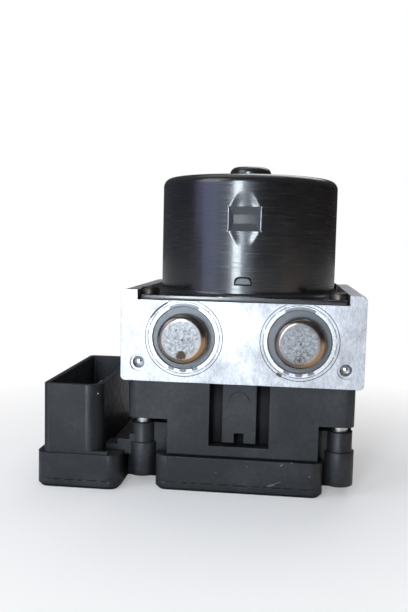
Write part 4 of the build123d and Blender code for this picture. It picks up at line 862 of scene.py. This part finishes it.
def add_stains(mesh_data, centre_x, stamp, lift, is_left):
    """Dirt in the stamp and the centre dimple, and random specks, more on the left cap."""
    spots = [(*stamp, 1.75 if is_left else 0.6), (centre_x + 0.3, ACCUMULATOR_Z + 0.2, 0.5)]
    for _ in range(16 if is_left else 6):
        angle = math.radians(random.uniform(150, 330) if is_left else random.uniform(0, 360))
        reach = random.uniform(2.0, 6.8)
        x = centre_x + reach * math.sin(angle)
        z = ACCUMULATOR_Z + reach * math.cos(angle)
        spots.append((x, z, random.uniform(0.08, 0.3)))
    for x, z, size in spots:
        outline = []
        for angle in full_turn(14):
            radius = size * random.uniform(0.75, 1.1)
            outline.append(mesh_data.verts.new(out_of_front(x, z, radius, angle, lift + 0.02)))
        mesh_data.faces.new(outline)


def cap_details():
    """Stamped rings, stains and a scratch on the crowns of the caps."""
    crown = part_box("accumulator_cap_left")[0].y / MM
    lift = BLOCK_FRONT - crown
    rings, stains = bmesh.new(), bmesh.new()
    for side in (-1, 1):
        centre_x = side * ACCUMULATOR_X
        stamp = (centre_x, ACCUMULATOR_Z - STAMP_BELOW_CENTRE)
        for radius, width in STAMPED_RINGS:
            add_stamped_ring(rings, stamp, radius, width, lift)
        add_stains(stains, centre_x, stamp, lift, side < 0)
    add_tube(rings, [(x, crown - raised, z) for x, raised, z in CROWN_SCRATCH], 0.09, 6)
    shade_smooth(to_piece("cap_rings", rings, ROOT, "scribed_line"), 60)
    to_piece("cap_stains", stains, ROOT, "dirt")


def socket_head(mesh_data, x, y, z, radius, height):
    """Rounded screw head with a six-lobed socket."""
    angles = full_turn(48)
    socket = SOCKET_SHARE * radius
    lobes = [1 + LOBE_SWING * math.cos(SOCKET_LOBES * angle) for angle in angles]
    rows = []
    outside = ((0.0, 0.0), (0.0, height - 0.7), (0.25, height - 0.25), (0.8, height))
    for narrower, level in outside:
        rows.append([(radius - narrower, level)] * len(angles))
    for level, shrink in ((height, 1.0), (height - 0.25, 0.92), (height - 1.6, 0.88)):
        rows.append([(socket * shrink * lobe, level) for lobe in lobes])
    rings = []
    for row in rows:
        ring = []
        for angle, (size, level) in zip(angles, row):
            point = (x + size * math.cos(angle), y + size * math.sin(angle), z + level)
            ring.append(mesh_data.verts.new(point))
        rings.append(ring)
    grid_faces(mesh_data, rings, True)
    mesh_data.faces.new(rings[0])
    mesh_data.faces.new(rings[-1])


def motor_screw_heads():
    """Four socket screws on the motor's flange in place of the plain ones."""
    low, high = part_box("motor_screws")
    flange_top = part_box("motor_can")[0].z / MM + FLANGE_THICKNESS
    radius = SCREW_HEAD_RADIUS
    mesh_data = bmesh.new()
    for x in (low.x / MM + radius, high.x / MM - radius):
        for y in (low.y / MM + radius, high.y / MM - radius):
            socket_head(mesh_data, x, y, flange_top, radius, high.z / MM - flange_top)
    piece = to_piece("motor_screw_heads", mesh_data, ROOT, "screw_black")
    shade_smooth(piece, 40)
    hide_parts("motor_screws")


def add_thread(mesh_data, start, axis, radius):
    """Thread ridges inside a hole: V rings from its mouth inwards."""
    axis = Vector(axis)
    side = axis.orthogonal().normalized()
    other = axis.cross(side)
    rows = []
    for step in range(round(2 * THREAD_DEPTH / THREAD_PITCH) + 1):
        is_root = step % 2 == 0
        size = radius - (THREAD_CLEARANCE if is_root else THREAD_CREST * THREAD_PITCH)
        row = []
        for angle in full_turn(32):
            out = (side * math.cos(angle) + other * math.sin(angle)) * size
            row.append(mesh_data.verts.new(Vector(start) + axis * step * THREAD_PITCH / 2 + out))
        rows.append(row)
    grid_faces(mesh_data, rows, True)


def threads():
    """Threads of the six pipe ports and the four bracket holes."""
    mesh_data = bmesh.new()
    port_mouth = -BLOCK_FRONT - PORT_FIRST_THREAD
    for index in range(PORT_COUNT):
        x = (index - (PORT_COUNT - 1) / 2) * PORT_PITCH
        radius = WIDE_PORT_RADIUS if index in WIDE_PORTS else PORT_RADIUS
        add_thread(mesh_data, (x, port_mouth, PORT_HEIGHT), (0, -1, 0), radius)
    for side, height in BRACKET_HOLES:
        for y in BRACKET_HOLE_Y:
            mouth = (side * BRACKET_FIRST_THREAD, y, height)
            add_thread(mesh_data, mouth, (-side, 0, 0), BRACKET_HOLE_RADIUS)
    shade_smooth(to_piece("hole_threads", mesh_data, ROOT, "block_aluminium"), 30)


# ---------- Wear on the control unit ----------
def front_patch(mesh_data, x, y, z, width, height, turn, ragged=0.3):
    """Small ragged patch that faces the front."""
    corners = []
    for angle in full_turn(10):
        size = 1 + random.uniform(-ragged, ragged)
        u, v = width / 2 * math.cos(angle) * size, height / 2 * math.sin(angle) * size
        across = u * math.cos(turn) - v * math.sin(turn)
        up = u * math.sin(turn) + v * math.cos(turn)
        corners.append((x + across, y, z + up))
    mesh_data.faces.new([mesh_data.verts.new(corner) for corner in corners])


def control_unit_wear():
    """Nicks, two scratches and the broken dark line of the cover's joint."""
    pan_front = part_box("ecu_housing")[0].y / MM
    surface = BULGE_FRONT - PATCH_LIFT
    nicks, joint = bmesh.new(), bmesh.new()
    for x, z, width, height in NICKS:
        front_patch(nicks, x, surface, z, width, height, random.uniform(-0.6, 0.6))
    for start, end in SCRATCHES:
        length = math.dist(start, end)
        turn = math.atan2(end[1] - start[1], end[0] - start[0])
        x, z = (start[0] + end[0]) / 2, (start[1] + end[1]) / 2
        front_patch(nicks, x, surface, z, length, SCRATCH_WIDTH, turn, 0.05)
    rim_front = pan_front + RIM_NICK_BEHIND
    front_patch(nicks, RIM_NICK_X, rim_front, RIM_NICK_Z, 0.9, 0.35, 0.5)
    for (left, right), front in ((SHROUD_PAN_JOINT, pan_front), (MAIN_PAN_JOINT, BULGE_FRONT)):
        x = left
        y = front - JOINT_LIFT
        while x < right:
            length = min(random.uniform(1.5, 7.0), right - x)
            height = random.uniform(0.35, 0.6)
            front_patch(joint, x + length / 2, y, JOINT_HEIGHT, length, height, 0.0, 0.18)
            x += length + random.uniform(0.2, 1.6)
    to_piece("plastic_nicks", nicks, ROOT, "scuffed_plastic")
    to_piece("cover_joint", joint, ROOT, "joint_shadow")


def soften_edges(name, width):
    """Round the sharp edges of a CAD node's mesh as it is shown."""
    node = frame["nodes"][name]
    weld = node.modifiers.new("weld", "WELD")
    weld.merge_threshold = WELD_DISTANCE
    bevel = node.modifiers.new("soften", "BEVEL")
    bevel.width = width * MM
    bevel.segments = 2
    bevel.limit_method = "ANGLE"
    bevel.angle_limit = math.radians(40)


# ---------- Floor, backdrop, lights and camera ----------
def make_world():
    """White to the camera; else a dim room, cool on the left, warm on the right, light above."""
    world = bpy.data.worlds.new("studio")
    tree = empty_tree(world)
    way = add_node(tree, "TexCoord").outputs["Generated"]
    x, _, z = add_node(tree, "SeparateXYZ", {0: way}).outputs
    sides = mix_colour(tree, remap(tree, x, -0.8, 0.8), (0.34, 0.38, 0.48), (0.13, 0.10, 0.08))
    room = mix_colour(tree, remap(tree, z, 0.1, 0.8), sides, (0.62, 0.62, 0.63))
    path = add_node(tree, "LightPath").outputs
    seen = math_node(tree, "MAXIMUM", path["Is Camera Ray"], path["Is Transmission Ray"])
    glossy = path["Is Glossy Ray"]
    ambient = remap(tree, glossy, 0.0, 1.0, ROOM_FOR_DIFFUSE, ROOM_FOR_GLOSS)
    dim = add_node(tree, "Background", {"Color": room, "Strength": ambient})
    white = add_node(tree, "Background", {"Color": rgba((1.0, 1.0, 1.0)), "Strength": 1.0})
    mixed_output(tree, "OutputWorld", seen, dim, white)
    bpy.context.scene.world = world


def make_floor():
    """Pale floor that fades to the white background with distance from the object."""
    bpy.ops.mesh.primitive_plane_add(size=FLOOR_SIZE, location=(0, 0, 0))
    floor = bpy.context.object
    floor.name = "floor"
    material = bpy.data.materials.new("floor_white")
    tree = empty_tree(material)
    diffuse = add_node(tree, "BsdfDiffuse", {"Color": rgba((0.9, 0.9, 0.9))})
    glow = add_node(tree, "Emission", {"Color": rgba((1.0, 1.0, 1.0)), "Strength": 1.0})
    distance = add_node(tree, "VectorMath", {0: place(tree)}, operation="LENGTH").outputs["Value"]
    far = remap(tree, distance, *FLOOR_FADE, 0.3, 1.0)
    seen = add_node(tree, "LightPath").outputs["Is Camera Ray"]
    glowing = math_node(tree, "MULTIPLY", far, seen)
    mixed_output(tree, "OutputMaterial", glowing, diffuse, glow)
    floor.data.materials.append(material)


def make_lamps():
    """Rectangular area lamps that face the object."""
    for name, location, size, radiance, colour in LAMPS:
        data = bpy.data.lights.new(name, "AREA")
        data.shape = "RECTANGLE"
        data.size, data.size_y = size
        data.energy = math.pi * size[0] * size[1] * radiance
        data.color = colour
        lamp = bpy.data.objects.new(name, data)
        lamp.location = location
        towards = Vector(LAMP_TARGET) - Vector(location)
        lamp.rotation_euler = towards.to_track_quat("-Z", "Y").to_euler()
        bpy.context.scene.collection.objects.link(lamp)


def make_camera():
    """The camera of the photo, turned by yaw, then pitch, then roll."""
    data = bpy.data.cameras.new("camera")
    data.sensor_width = SENSOR
    data.lens = FOCAL_PIXELS * SENSOR / IMAGE_HEIGHT
    data.clip_start = 0.01
    camera = bpy.data.objects.new("camera", data)
    yaw, pitch, roll = (math.radians(angle) for angle in (CAMERA_YAW, CAMERA_PITCH, CAMERA_ROLL))
    right = Vector((math.cos(yaw), math.sin(yaw), 0))
    forward = Vector(
        (-math.sin(yaw) * math.cos(pitch), math.cos(yaw) * math.cos(pitch), -math.sin(pitch))
    )
    up = right.cross(forward)
    rolled_right = right * math.cos(roll) + up * math.sin(roll)
    rolled_up = up * math.cos(roll) - right * math.sin(roll)
    turn = Matrix((rolled_right, rolled_up, -forward)).transposed()
    camera.matrix_world = Matrix.Translation(Vector(CAMERA_PLACE) * MM) @ turn.to_4x4()
    bpy.context.scene.collection.objects.link(camera)
    bpy.context.scene.camera = camera


motor_can()
motor_flange()
compressing_springs()
stop_glints()
accumulator_details()
cap_details()
motor_screw_heads()
threads()
control_unit_wear()
for softened, edge_width in SOFTENED:
    soften_edges(softened, edge_width)

make_world()
make_floor()
make_lamps()
make_camera()
bpy.context.scene.view_settings.view_transform = "Standard"
